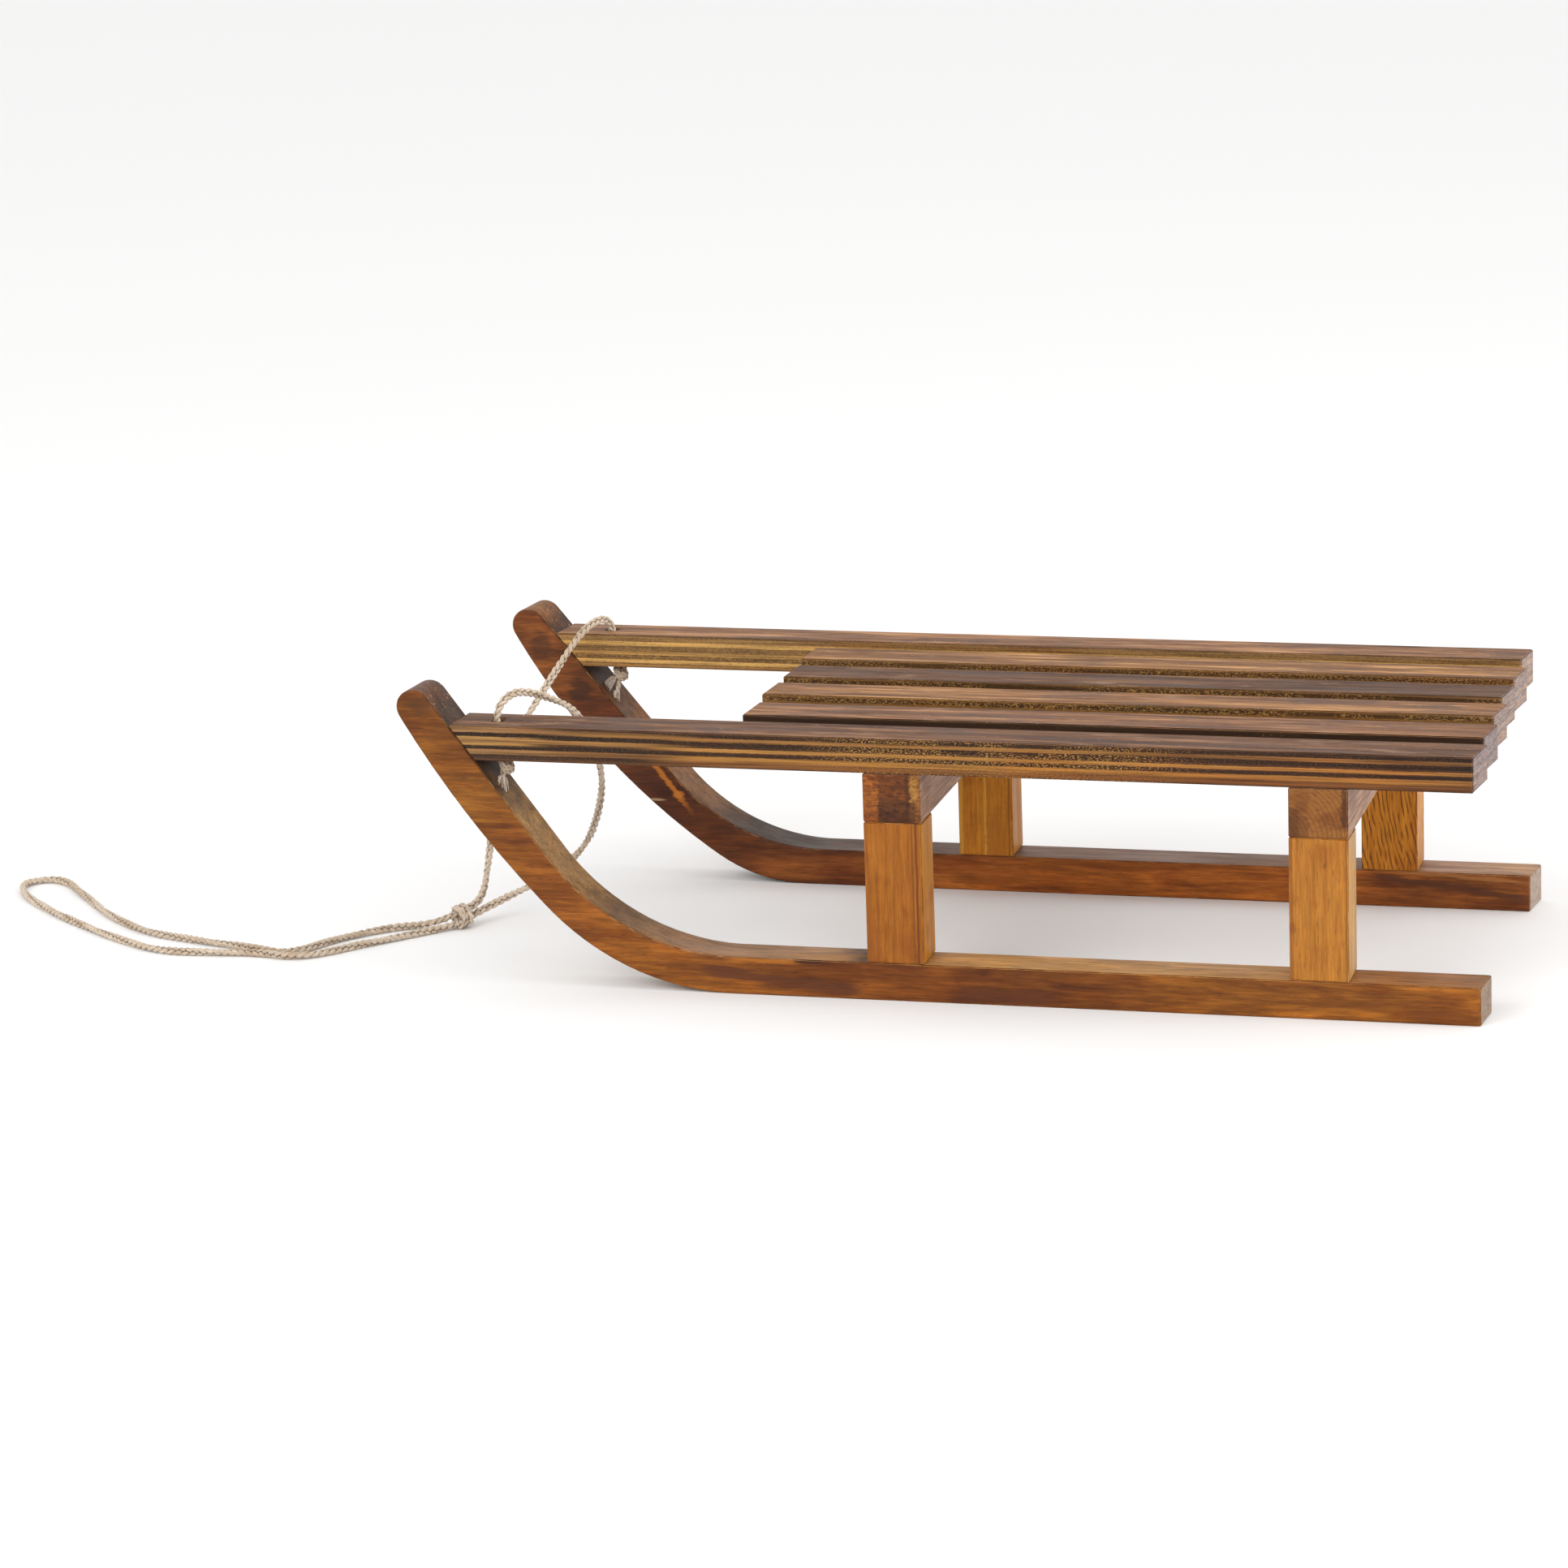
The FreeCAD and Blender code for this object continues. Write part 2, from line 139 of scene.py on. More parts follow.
class Shader:
    """A small helper that wires one material's nodes."""

    def __init__(self, name):
        self.material = bpy.data.materials.new(name)
        self.material.use_nodes = True
        self.tree = self.material.node_tree
        self.nodes = self.tree.nodes
        self.surface = self.nodes["Principled BSDF"]
        self.place = self.nodes.new("ShaderNodeTexCoord").outputs["Object"]

    def feed(self, socket, value):
        if isinstance(value, bpy.types.NodeSocket):
            self.tree.links.new(value, socket)
        elif isinstance(value, tuple) and len(value) == 3 and len(getattr(socket, "default_value", ())) == 4:
            socket.default_value = (*value, 1)
        else:
            socket.default_value = value

    def math(self, operation, a, b=0.0, clamp=False):
        node = self.nodes.new("ShaderNodeMath")
        node.operation = operation
        node.use_clamp = clamp
        self.feed(node.inputs[0], a)
        self.feed(node.inputs[1], b)
        return node.outputs[0]

    def plus(self, a, b):
        return self.math("ADD", a, b)

    def minus(self, a, b):
        return self.math("SUBTRACT", a, b)

    def times(self, a, b):
        return self.math("MULTIPLY", a, b)

    def split(self, vector):
        node = self.nodes.new("ShaderNodeSeparateXYZ")
        self.feed(node.inputs[0], vector)
        return node.outputs

    def join(self, x, y, z):
        node = self.nodes.new("ShaderNodeCombineXYZ")
        for socket, value in zip(node.inputs, (x, y, z)):
            self.feed(socket, value)
        return node.outputs[0]

    def stretch(self, vector, scale, shift=(0, 0, 0)):
        node = self.nodes.new("ShaderNodeMapping")
        self.feed(node.inputs["Vector"], vector)
        node.inputs["Scale"].default_value = scale
        node.inputs["Location"].default_value = shift
        return node.outputs[0]

    def noise(self, vector, detail=4.0, roughness=0.55, distortion=0.0):
        node = self.nodes.new("ShaderNodeTexNoise")
        self.feed(node.inputs["Vector"], vector)
        node.inputs["Scale"].default_value = 1.0
        node.inputs["Detail"].default_value = detail
        node.inputs["Roughness"].default_value = roughness
        node.inputs["Distortion"].default_value = distortion
        return node.outputs["Fac"]

    def texture(self, scale, shift=(0, 0, 0), **look):
        """Noise with so many features per metre along each axis."""
        return self.noise(self.stretch(self.place, scale, shift), **look)

    def swing(self, size, scale, shift=(0, 0, 0), **look):
        """Noise about 0, as wide as size."""
        return self.times(self.minus(self.texture(scale, shift, **look), 0.5), size)

    def span(self, value, low, high, out_low=0.0, out_high=1.0):
        """value from low..high carried to out_low..out_high, clamped, with a smooth ease."""
        node = self.nodes.new("ShaderNodeMapRange")
        node.interpolation_type = "SMOOTHSTEP"
        self.feed(node.inputs["Value"], value)
        for key, number in (("From Min", low), ("From Max", high), ("To Min", out_low), ("To Max", out_high)):
            node.inputs[key].default_value = number
        return node.outputs["Result"]

    def mix(self, share, a, b, blend="MIX"):
        node = self.nodes.new("ShaderNodeMix")
        node.data_type = "RGBA"
        node.blend_type = blend
        self.feed(node.inputs["Factor"], share)
        self.feed(node.inputs[6], a)
        self.feed(node.inputs[7], b)
        return node.outputs[2]

    def tint(self, colour, by, share=1.0):
        return self.mix(share, colour, by, "MULTIPLY")

    def ramp(self, value, stops):
        """Colours at given places along 0..1."""
        node = self.nodes.new("ShaderNodeValToRGB")
        self.feed(node.inputs[0], value)
        band = node.color_ramp
        while len(band.elements) < len(stops):
            band.elements.new(0.5)
        for element, (at, colour) in zip(band.elements, stops):
            element.position = at
            element.color = (*colour, 1)
        return node.outputs[0]

    def attribute(self, name):
        node = self.nodes.new("ShaderNodeAttribute")
        node.attribute_name = name
        return node.outputs["Fac"]

    def facing(self):
        """How squarely the surface faces each axis, 0 to 1, as separate X, Y and Z."""
        normal = self.nodes.new("ShaderNodeTexCoord").outputs["Normal"]
        node = self.nodes.new("ShaderNodeVectorMath")
        node.operation = "ABSOLUTE"
        self.feed(node.inputs[0], normal)
        return self.split(node.outputs[0])

    def near(self, centre, radii):
        """1 inside a ragged spot round a point, 0 outside."""
        offset = self.nodes.new("ShaderNodeVectorMath")
        offset.operation = "SUBTRACT"
        self.feed(offset.inputs[0], self.place)
        offset.inputs[1].default_value = centre
        scaled = self.stretch(offset.outputs[0], tuple(1 / r for r in radii))
        length = self.nodes.new("ShaderNodeVectorMath")
        length.operation = "LENGTH"
        self.feed(length.inputs[0], scaled)
        return self.span(self.plus(length.outputs["Value"], self.swing(1.8, (70, 320, 320))), 1.10, 0.55)

    def finish(self, colour, rough, height, depth, specular=WOOD_SPECULAR):
        """The finished material; height times depth is its relief in metres."""
        self.feed(self.surface.inputs["Base Color"], colour)
        self.feed(self.surface.inputs["Roughness"], rough)
        self.surface.inputs["Specular IOR Level"].default_value = specular
        bump = self.nodes.new("ShaderNodeBump")
        bump.inputs["Distance"].default_value = depth
        bump.inputs["Strength"].default_value = 1.0
        self.feed(bump.inputs["Height"], height)
        self.feed(self.surface.inputs["Normal"], bump.outputs[0])
        return self.material


# ---- rope

# The same points as the design's route, in millimetres, from the near hole to the far one.
ROPE_ROUTE = (
    (-225, -100.5, 117), (-225.3, -100.3, 127.5), (-225.8, -100.5, 138.5), (-222.5, -97.5, 145.5),
    (-216.5, -90, 148), (-207, -76, 142), (-196, -55.5, 129.5), (-189.5, -41, 97), (-193.5, -33, 74),
    (-207, -20, 46), (-236, -4, 24), (-258.5, 1, 12), (-272.5, -11, 6), (-280, -22, 2.2),
    (-297, -39.5, 2), (-314, -58, 2), (-343, -92, 2), (-368, -84.5, 2), (-392, -88.5, 2),
    (-422, -89.5, 2), (-456, -68, 2), (-496, -36, 2), (-527, -6.5, 2), (-543.5, 18.5, 2),
    (-538.5, 32.5, 2), (-524, 35, 2), (-505, 12, 2), (-473, -29, 2), (-441, -57, 2),
    (-406, -68.5, 2), (-376, -76, 2), (-350, -85.5, 2), (-334, -53, 2), (-314, -31, 2),
    (-293, -20.5, 2.2), (-280, -17, 7.5), (-269.5, -7.5, 12), (-269.5, 4, 26), (-270.5, 22, 52),
    (-264, 40, 88), (-245.5, 59.5, 120), (-235, 80, 139.5), (-228.5, 95.5, 143), (-225, 102.3, 138),
    (-225.4, 102.2, 127.5), (-225, 102, 117),
)


def spline_points(name, points, steps):
    """The points of the smooth NURBS line that those control points give, in metres."""
    curve = bpy.data.curves.new(name, "CURVE")
    curve.dimensions = "3D"
    curve.resolution_u = steps
    spline = curve.splines.new("NURBS")
    spline.points.add(len(points) - 1)
    for point, place in zip(spline.points, points):
        point.co = (*(c * MM for c in place), 1)
    spline.order_u = 3
    spline.use_endpoint_u = True
    holder = link(bpy.data.objects.new(name, curve))
    mesh = bpy.data.meshes.new_from_object(holder)
    line = [v.co.copy() for v in mesh.vertices]
    bpy.data.objects.remove(holder)
    bpy.data.meshes.remove(mesh)
    return line


def carried_frames(line):
    """(tangent, side, other side) at each point, carried along without twist."""
    tangents = [(line[min(i + 1, len(line) - 1)] - line[max(i - 1, 0)]).normalized()
                for i in range(len(line))]
    side = tangents[0].orthogonal().normalized()
    frames = []
    for tangent in tangents:
        side = (side - tangent * side.dot(tangent)).normalized()
        frames.append((tangent, side, tangent.cross(side)))
    return frames


def run_lengths(line):
    """The length of the line up to each of its points."""
    lengths = [0.0]
    for a, b in zip(line, line[1:]):
        lengths.append(lengths[-1] + (b - a).length)
    return lengths


ABOVE_FLOOR = 0.05 * MM
PLAIN_TONE = 0.5    # 0 is a pale loose end, partly painted light; 1 the painted shade deep in a crease
CREASE_SHADE_FROM = 0.22  # how deep between the strands the painted shade begins, as a share of the reach
CREASE_SHADE_OVER = 0.30


class MeshMaker:
    """Gathers vertices, faces and per-corner texture places, then makes one mesh object."""

    def __init__(self):
        self.vertices = []
        self.tones = []
        self.faces = []
        self.places = []

    def tube(self, line, radius_at, sides, lobes=0, lobe_depth=0.0, lobe_pitch=1.0, core=None, reach=1.0,
             tone=PLAIN_TONE):
        """A closed-ended tube along a line. Lobes wind round it like the yarns of a strand.

        A strand laid round a core gets deeper tones, painted shade, the nearer its surface comes to the core."""
        frames = carried_frames(line)
        lengths = run_lengths(line)
        first = len(self.vertices)
        for i, (centre, (_, u, v)) in enumerate(zip(line, frames)):
            radius = radius_at(i, lengths)
            for k in range(sides):
                angle = 2 * math.pi * k / sides
                wind = lobes * (angle - 2 * math.pi * lengths[i] / lobe_pitch)
                r = radius * (1 + lobe_depth * math.cos(wind)) if lobes else radius
                vertex = centre + r * (math.cos(angle) * u + math.sin(angle) * v)
                self.vertices.append(vertex)
                if core:
                    # painted shade: the deeper a point lies between the strands, the darker its tone
                    buried = 1 - (vertex - core[i]).length / reach
                    crease = min(1.0, max(0.0, (buried - CREASE_SHADE_FROM) / CREASE_SHADE_OVER))
                    tone = PLAIN_TONE + (1 - PLAIN_TONE) * crease
                self.tones.append(tone)
        for i in range(len(line) - 1):
            for k in range(sides):
                n = (k + 1) % sides
                a, b = first + i * sides, first + (i + 1) * sides
                self.faces.append((a + k, a + n, b + n, b + k))
                u0, u1 = k / sides, (k + 1) / sides
                l0, l1 = lengths[i] * 1000, lengths[i + 1] * 1000
                self.places.append(((l0, u0), (l0, u1), (l1, u1), (l1, u0)))
        for start, flip in ((first, True), (first + (len(line) - 1) * sides, False)):
            ring = tuple(range(start, start + sides))
            self.faces.append(ring[::-1] if flip else ring)
            self.places.append(tuple((0.0, 0.0) for _ in ring))

    def make(self, name, material):
        """The gathered shape as an object; nothing in it reaches below the floor."""
        for vertex in self.vertices:
            vertex.z = max(vertex.z, ABOVE_FLOOR)
        mesh = bpy.data.meshes.new(name)
        mesh.from_pydata(self.vertices, [], self.faces)
        flat = [c for face in self.places for pair in face for c in pair]
        mesh.uv_layers.new(name="along").data.foreach_set("uv", flat)
        mesh.attributes.new("tone", "FLOAT", "POINT").data.foreach_set("value", self.tones)
        mesh.polygons.foreach_set("use_smooth", [True] * len(mesh.polygons))
        mesh.materials.append(material)
        mesh.update()
        return link(bpy.data.objects.new(name, mesh))


PLAIT_PITCH = 11.5 * MM
PLAIT_TURN = 90.0 * MM      # the length over which the flat of the plait turns once
PLAIT_WIDE = 1.12 * MM
PLAIT_DEEP = 0.62 * MM
STRAND_RADIUS = 1.04 * MM
SLACK, SWELL = 0.10, 0.13   # how unevenly the strands lie and are spun
YARN_PITCH = 9 * MM
FIBRE_RADIUS = 0.045 * MM
FIBRE_STEPS = 5
TAIL_STEPS = 8
END_STEPS = 16
SAG = 0.25                  # how far a loose end drops, as a share of its length


def plait(maker, line, scale=1.0, phase=0.0):
    """Three strands plaited along a line; the flat of the plait turns slowly along it."""
    frames = carried_frames(line)
    lengths = run_lengths(line)
    for strand in range(3):
        path = []
        for centre, (_, u, v), length in zip(line, frames, lengths):
            t = 2 * math.pi * (length / (PLAIT_PITCH * scale) + strand / 3) + phase
            turn = 2 * math.pi * length / PLAIT_TURN + phase
            a = math.cos(turn) * u + math.sin(turn) * v
            b = -math.sin(turn) * u + math.cos(turn) * v
            slack = 1 + SLACK * noise.noise(Vector((length * 90, strand * 7.3, phase)))
            wide = PLAIT_WIDE * scale * slack * math.sin(t)
            deep = PLAIT_DEEP * scale * slack * math.sin(2 * t)
            path.append(centre + wide * a + deep * b)

        def radius_at(i, lengths, strand=strand):
            swell = noise.noise(Vector((lengths[i] * 160, strand * 3.1 + phase, 4.0)))
            return STRAND_RADIUS * scale * (1 + SWELL * swell)

        maker.tube(path, radius_at, 10, lobes=5, lobe_depth=0.07, lobe_pitch=YARN_PITCH, core=line,
                   reach=(PLAIT_WIDE + STRAND_RADIUS) * scale)


def stray_fibres(maker, line, count, reach, rng):
    """Loose fibres that stand out of the rope's surface."""
    frames = carried_frames(line)
    for _ in range(count):
        i = rng.randrange(2, len(line) - 3)
        tangent, u, v = frames[i]
        angle = rng.uniform(0, 2 * math.pi)
        out = math.cos(angle) * u + math.sin(angle) * v
        along = tangent * rng.choice((-1, 1))
        start = line[i] + out * 1.2 * MM
        length = rng.uniform(2.0, 6.5) * MM
        rise = rng.uniform(0.25, 1.0) * reach
        curl = rng.uniform(-1, 1) * 1.2 * MM
        side = tangent.cross(out)
        points = []
        for k in range(FIBRE_STEPS + 1):
            s = k / FIBRE_STEPS
            point = start + along * length * s + out * rise * s * s * (1.2 - 0.4 * s) + side * curl * s * s
            point.z = max(point.z, FIBRE_RADIUS * 1.2)
            points.append(point)
        maker.tube(points, lambda i, lengths: FIBRE_RADIUS * (1.0 - 0.12 * i), 4)


def jute_material():
    """Pale fibres that slant across each strand; painted shade darkens the creases, and the loose ends are
    paler, partly as painted light.
    """
    s = Shader("jute")
    uv = s.nodes.new("ShaderNodeUVMap")
    uv.uv_map = "along"
    x, y, _ = s.split(uv.outputs[0])
    slant = s.plus(s.times(y, 26.0), s.times(x, 1.9))
    fibre = s.noise(s.join(slant, s.times(x, 0.22), 0.0), detail=3, roughness=0.6)
    blotch = s.texture((55, 55, 55), detail=3)
    colour = s.ramp(fibre, ((0.25, (0.22, 0.145, 0.09)), (0.43, (0.49, 0.38, 0.275)),
                            (0.60, (0.73, 0.615, 0.49)), (0.78, (0.93, 0.86, 0.76))))
    warm = s.tint(colour, (0.62, 0.48, 0.34), s.span(blotch, 0.42, 0.68))
    colour = s.mix(0.45, colour, warm)
    tone = s.attribute("tone")
    # painted shade in the creases between the strands
    colour = s.mix(s.span(tone, 0.55, 0.95, 0.0, 0.85), colour, (0.10, 0.06, 0.035))
    # the loose ends' paler colour, partly their own and partly painted light against the shade they hang in
    colour = s.mix(s.span(tone, 0.45, 0.10, 0.0, 0.75), colour, (0.95, 0.86, 0.78))
    s.surface.inputs["Sheen Weight"].default_value = 0.25
    s.surface.inputs["Sheen Roughness"].default_value = 0.5
    return s.finish(colour, 0.85, fibre, 0.12 * MM, 0.25)


def make_rope(material):
    """The whole tow rope as one plaited mesh along its smooth line, with loose fibres."""
    line = spline_points("rope_line", ROPE_ROUTE, 40)
    rng = random.Random(11)
    maker = MeshMaker()
    plait(maker, line)
    stray_fibres(maker, line, 240, 1.5 * MM, rng)
    return add_piece(maker.make("jute_rope", material), "tow_rope"), line


def helix_path(centre, axis, turns, radius_of, rise, steps, start=0.0, floor=None):
    """Points that wind round an axis through centre, in metres."""
    axis = Vector(axis).normalized()
    u = axis.orthogonal().normalized()
    v = axis.cross(u)
    path = []
    for i in range(steps + 1):
        t = i / steps
        angle = start + 2 * math.pi * turns * t
        radius = radius_of(t)
        point = centre + axis * rise(t) + radius * (math.cos(angle) * u + math.sin(angle) * v)
        if floor is not None:
            point.z = max(point.z, floor)
        path.append(point)
    return path


def frayed_tail(maker, root, direction, length, spread, count, rng):
    """A short end of rope come apart into loose yarns and fibres."""
    direction = Vector(direction).normalized()
    u = direction.orthogonal().normalized()
    v = direction.cross(u)
    for k in range(count):
        angle = rng.uniform(0, 2 * math.pi)
        out = (math.cos(angle) * u + math.sin(angle) * v) * math.sqrt(rng.random())
        reach = length * rng.uniform(0.6, 1.12)
        bend = rng.uniform(0.4, 1.5)
        thick = (0.46 if k % 5 == 0 else rng.uniform(0.09, 0.20)) * MM
        points = []
        for i in range(TAIL_STEPS + 1):
            t = i / TAIL_STEPS
            point = root + direction * reach * t + out * (1.1 * MM + spread * t ** bend)
            point += Vector((0, 0, -1)) * SAG * reach * t * t
            wobble = noise.noise(Vector((k * 3.7, t * 2.6, 0.5)))
            weave = noise.noise(Vector((k * 1.9, t * 2.9, 7.5)))
            point += u * wobble * 0.9 * MM * t + v * weave * 0.9 * MM * t
            points.append(point)
        # a paler tone for the loose yarns: their own paler colour, lifted further as painted light
        maker.tube(points, lambda i, lengths, thick=thick: thick * (1.0 - 0.075 * i), 5,
                   tone=rng.uniform(0.1, PLAIN_TONE))


TOW_KNOT = Vector((-277.3, -18.2, 6.6)) * MM
TOW_KNOT_AXIS = (0.70, 0.70, 0.16)
KNOT_FLOOR = 1.95 * MM


def make_tow_knot(material):
    """The overhand knot that ties the two legs into a loop: two wraps and one that crosses them."""
    rng = random.Random(5)
    maker = MeshMaker()
    wraps = helix_path(TOW_KNOT, TOW_KNOT_AXIS, 2.15, lambda t: (4.5 + 0.25 * math.sin(9 * t)) * MM,
                       lambda t: (-3.9 + 6.4 * t) * MM, 90, start=0.6, floor=KNOT_FLOOR)
    crossing = helix_path(TOW_KNOT, (0.36, 0.93, 0.30), 1.05, lambda t: (5.0 - 0.5 * abs(2 * t - 1)) * MM,
                          lambda t: (1.6 - 3.2 * t) * MM, 60, start=2.2, floor=KNOT_FLOOR)
    plait(maker, wraps, scale=0.97, phase=1.0)
    plait(maker, crossing, scale=0.95, phase=2.0)
    stray_fibres(maker, wraps, 34, 1.8 * MM, rng)
    return add_piece(maker.make("tow_knot_wraps", material), "tow_knot")


NEAR_STOPPER = Vector((-221.6, -100.5, 111.6)) * MM
NEAR_ENDS = (((-1.2, -0.6, -1.5), (-0.16, -0.42, -1.0), 5.0, 7.0, 3.0, 140),)
FAR_STOPPER = Vector((-221.0, 102.0, 111.2)) * MM
FAR_ENDS = (((-1.8, -0.5, -1.2), (-0.80, -0.55, -0.80), 3.0, 7.0, 1.7, 80),
            ((-0.6, 0.0, -2.0), (-0.12, -0.42, -1.0), 9.0, 5.0, 1.3, 50))


def make_stopper(name, node, centre, ends, seed, material):
    """A stopper knot drawn up under a rail. Each end leaves it as rope and then comes apart.

    An end is its start from the knot's centre, its direction, the lengths of whole and of loose
    rope and the spread in millimetres, and the number of loose yarns."""
    rng = random.Random(seed)
    maker = MeshMaker()
    wraps = helix_path(centre, (0.25, 0.1, 1.0), 1.9, lambda t: (2.6 + 0.3 * math.sin(7 * t)) * MM,
                       lambda t: (2.2 - 4.2 * t) * MM, 80, start=0.4)
    over = helix_path(centre + Vector((0.6, 0, -0.4)) * MM, (0.85, -0.2, 0.5), 0.95,
                      lambda t: 2.9 * MM, lambda t: (-1.2 + 2.4 * t) * MM, 50, start=1.0)
    plait(maker, wraps, scale=0.84, phase=0.3)
    plait(maker, over, scale=0.80, phase=1.7)
    stray_fibres(maker, wraps, 30, 2.2 * MM, rng)
    for offset, direction, whole, loose, spread, count in ends:
        root = centre + Vector(offset) * MM
        heading = Vector(direction).normalized()
        line = [root + heading * (whole * MM * i / END_STEPS) for i in range(END_STEPS + 1)]
        plait(maker, line, scale=0.80, phase=2.0 + whole)
        frayed_tail(maker, line[-1] - heading * 0.8 * MM, direction, loose * MM, spread * MM, count, rng)
    return add_piece(maker.make(name, material), node)


# ---- wood shapes

RUNNER_END_FROM = 200 * MM
EDGE_CUT = 1.7 * MM     # extra cuts this far in from a board's faces keep its edges crisp
SHARP = math.radians(38)
# How finely each kind of board is cut along X, Y and Z, in millimetres.
RUNNER_CUTS = (2.6, 4.0, 3.0)
POST_CUTS = (4.0, 4.0, 2.4)
BEAM_CUTS = (3.0, 4.0, 3.0)
BOARD_CUTS = (2.4, 4.0, 3.0)


def edge_share(normal, place, curved):
    """How much a point lies on a rounded edge: 0 on a face, 1 at the middle of the rounding."""
    x2, y2, z2 = normal.x ** 2, normal.y ** 2, normal.z ** 2
    if not curved:
        return min(1.0, 2 * (1 - max(x2, y2, z2)))
    share = 4 * y2 * (1 - y2)
    if place.x > RUNNER_END_FROM and x2 + z2 > 0.5:
        share += 2 * (1 - max(x2, z2) / (x2 + z2))
    return min(1.0, share)


def carve(node, step, curved, seed):
    """A finely cut copy of a CAD node's mesh whose edges are rubbed down and nicked by hand use."""
    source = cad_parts[node].data
    mesh = bpy.data.meshes.new(node + "_worn")
    bm = bmesh.new()
    bm.from_mesh(source)
    bmesh.ops.remove_doubles(bm, verts=bm.verts, dist=1e-6)
    low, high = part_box(node)
    for axis in range(3):
        normal = Vector((0, 0, 0))
        normal[axis] = 1
        cuts = [low[axis] + EDGE_CUT, high[axis] - EDGE_CUT]
        place = low[axis] + step[axis]
        while place < high[axis] - step[axis] / 2:
            cuts.append(place)
            place += step[axis]
        for cut in cuts:
            point = Vector((0, 0, 0))
            point[axis] = cut
            bmesh.ops.bisect_plane(bm, geom=bm.verts[:] + bm.edges[:] + bm.faces[:], dist=1e-6,
                                   plane_co=point, plane_no=normal)
    bm.normal_update()
    worn = bm.verts.layers.float.new("edge")
    shift = Vector((seed * 1.31, seed * 2.17, seed * 0.73))
    for vertex in bm.verts:
        place = vertex.co
        share = edge_share(vertex.normal, place, curved)
        soft = 0.5 + 0.5 * noise.noise(place * 90 + shift)
        nick = max(0.0, noise.noise(place * 260 + shift * 2) - 0.28)
        plane = 0.5 + 0.5 * noise.noise(place * 28 - shift)
        # In millimetres: a slight waviness everywhere, and rubbing and nicks along the edges.
        depth = (0.10 * plane + share * (0.18 + 0.5 * soft + 2.6 * nick)) * MM
        vertex[worn] = share
        vertex.co -= vertex.normal * depth
    bm.to_mesh(mesh)
    bm.free()
    mesh.polygons.foreach_set("use_smooth", [True] * len(mesh.polygons))
    mesh.set_sharp_from_angle(angle=SHARP)
    return mesh


def add_wood(node, material, step, seed, curved=False):
    """The worn copy of a CAD board, shown in its place."""
    mesh = carve(node, tuple(c * MM for c in step), curved, seed)
    mesh.materials.append(material)
    add_piece(link(bpy.data.objects.new(node + "_wood", mesh)), node)


# ---- wood finishes

SLEDGE_FRONT, SLEDGE_REAR = -280, 276   # millimetres, where the colours laid along it begin and end


def srgb(r, g, b):
    """A screen colour, 0 to 255, as the linear light that shaders use."""
    return tuple(c / 12.92 if c <= 0.04045 else ((c + 0.055) / 1.055) ** 2.4
                 for c in (r / 255, g / 255, b / 255))


def tones(*rows):
    """Places with screen colours, as stops for a ramp."""
    return tuple((at, srgb(*colour)) for at, *colour in rows)


ORANGE = tones((0.0, 108, 61, 18), (0.4, 130, 77, 22), (0.7, 145, 88, 26), (1.0, 166, 104, 36))
RED = tones((0.0, 102, 56, 22), (0.4, 126, 72, 28), (0.7, 144, 84, 34), (1.0, 166, 100, 44))
HONEY = tones((0.0, 132, 74, 15), (0.4, 152, 90, 22), (0.7, 165, 101, 27), (1.0, 182, 118, 40))
WALNUT = tones((0.0, 76, 50, 36), (0.4, 106, 72, 50), (0.7, 130, 92, 64), (1.0, 162, 122, 90))
PALE_HONEY = tones((0.0, 150, 90, 26), (0.4, 166, 106, 36), (0.7, 176, 116, 44), (1.0, 188, 130, 56))
# A lighter honey stain for the two far posts, which stand in the seat's shade: partly their stain, partly
# painted light.
AMBER_WITH_PAINTED_LIGHT = tones((0.0, 172, 106, 22), (0.4, 188, 118, 28), (0.7, 196, 126, 34), (1.0, 208, 140, 46))
LINE_DARK = (96, 50, 20)
LINE_PALE = (214, 158, 62)


def grain(axis, along, across):
    """Features per metre along the grain's axis and across it, as one scale."""
    return tuple(along if k == axis else across for k in range(3))


def figured(s, axis, stops, seed, streaks=(14, 130), contrast=1.0, crisp=1.0):
    """Colour of stained wood: streaks along the grain, fine fibre and short dark pores."""
    shift = (seed * 3.7, seed * 5.3, seed * 7.1)
    streak = s.texture(grain(axis, *streaks), shift, detail=7, roughness=0.66, distortion=0.5)
    colour = s.ramp(s.span(streak, 0.5 - 0.22 / contrast, 0.5 + 0.22 / contrast), stops)
    fibre = s.texture(grain(axis, 34, 620), shift, detail=4, roughness=0.62, distortion=0.3)
    darker = tuple(1 - c * crisp for c in (0.2, 0.24, 0.3))
    lighter = tuple(1 + c * crisp for c in (0.18, 0.18, 0.15))
    colour = s.tint(colour, s.ramp(fibre, ((0.34, darker), (0.66, lighter))))
    fine = s.texture(grain(axis, 70, 1700), shift, detail=3, roughness=0.7)
    colour = s.tint(colour, s.ramp(fine, ((0.32, (0.78, 0.74, 0.70)), (0.68, (1.17, 1.17, 1.17)))))
    pores = s.span(s.texture(grain(axis, 150, 1500), shift, detail=1), 0.66, 0.74)
    colour = s.mix(s.times(pores, 0.45), colour, (0.07, 0.025, 0.008))
    height = s.plus(s.times(fine, 0.6), s.times(streak, 0.5))
    return colour, s.minus(height, s.times(pores, 0.4))


def blotched(s, colour, tints, seed):
    """Wide uneven patches where the stain took more or less."""
    for k, (along, across, low, high, tint, share) in enumerate(tints):
        patch = s.texture(grain(0, along, across), (seed + 9.1 * k, seed * 2.3, k * 4.7), detail=3,
                          roughness=0.6)
        mask = s.times(s.span(patch, low, high), share)
        colour = s.tint(colour, tint, mask)
    return colour


def spotted(s, colour, spots):
    """Single marks: centre and radii in millimetres, colour, share."""
    for centre, radii, tint, share in spots:
        mask = s.near(tuple(c * MM for c in centre), tuple(c * MM for c in radii))
        colour = s.mix(s.times(mask, share), colour, srgb(*tint))
    return colour


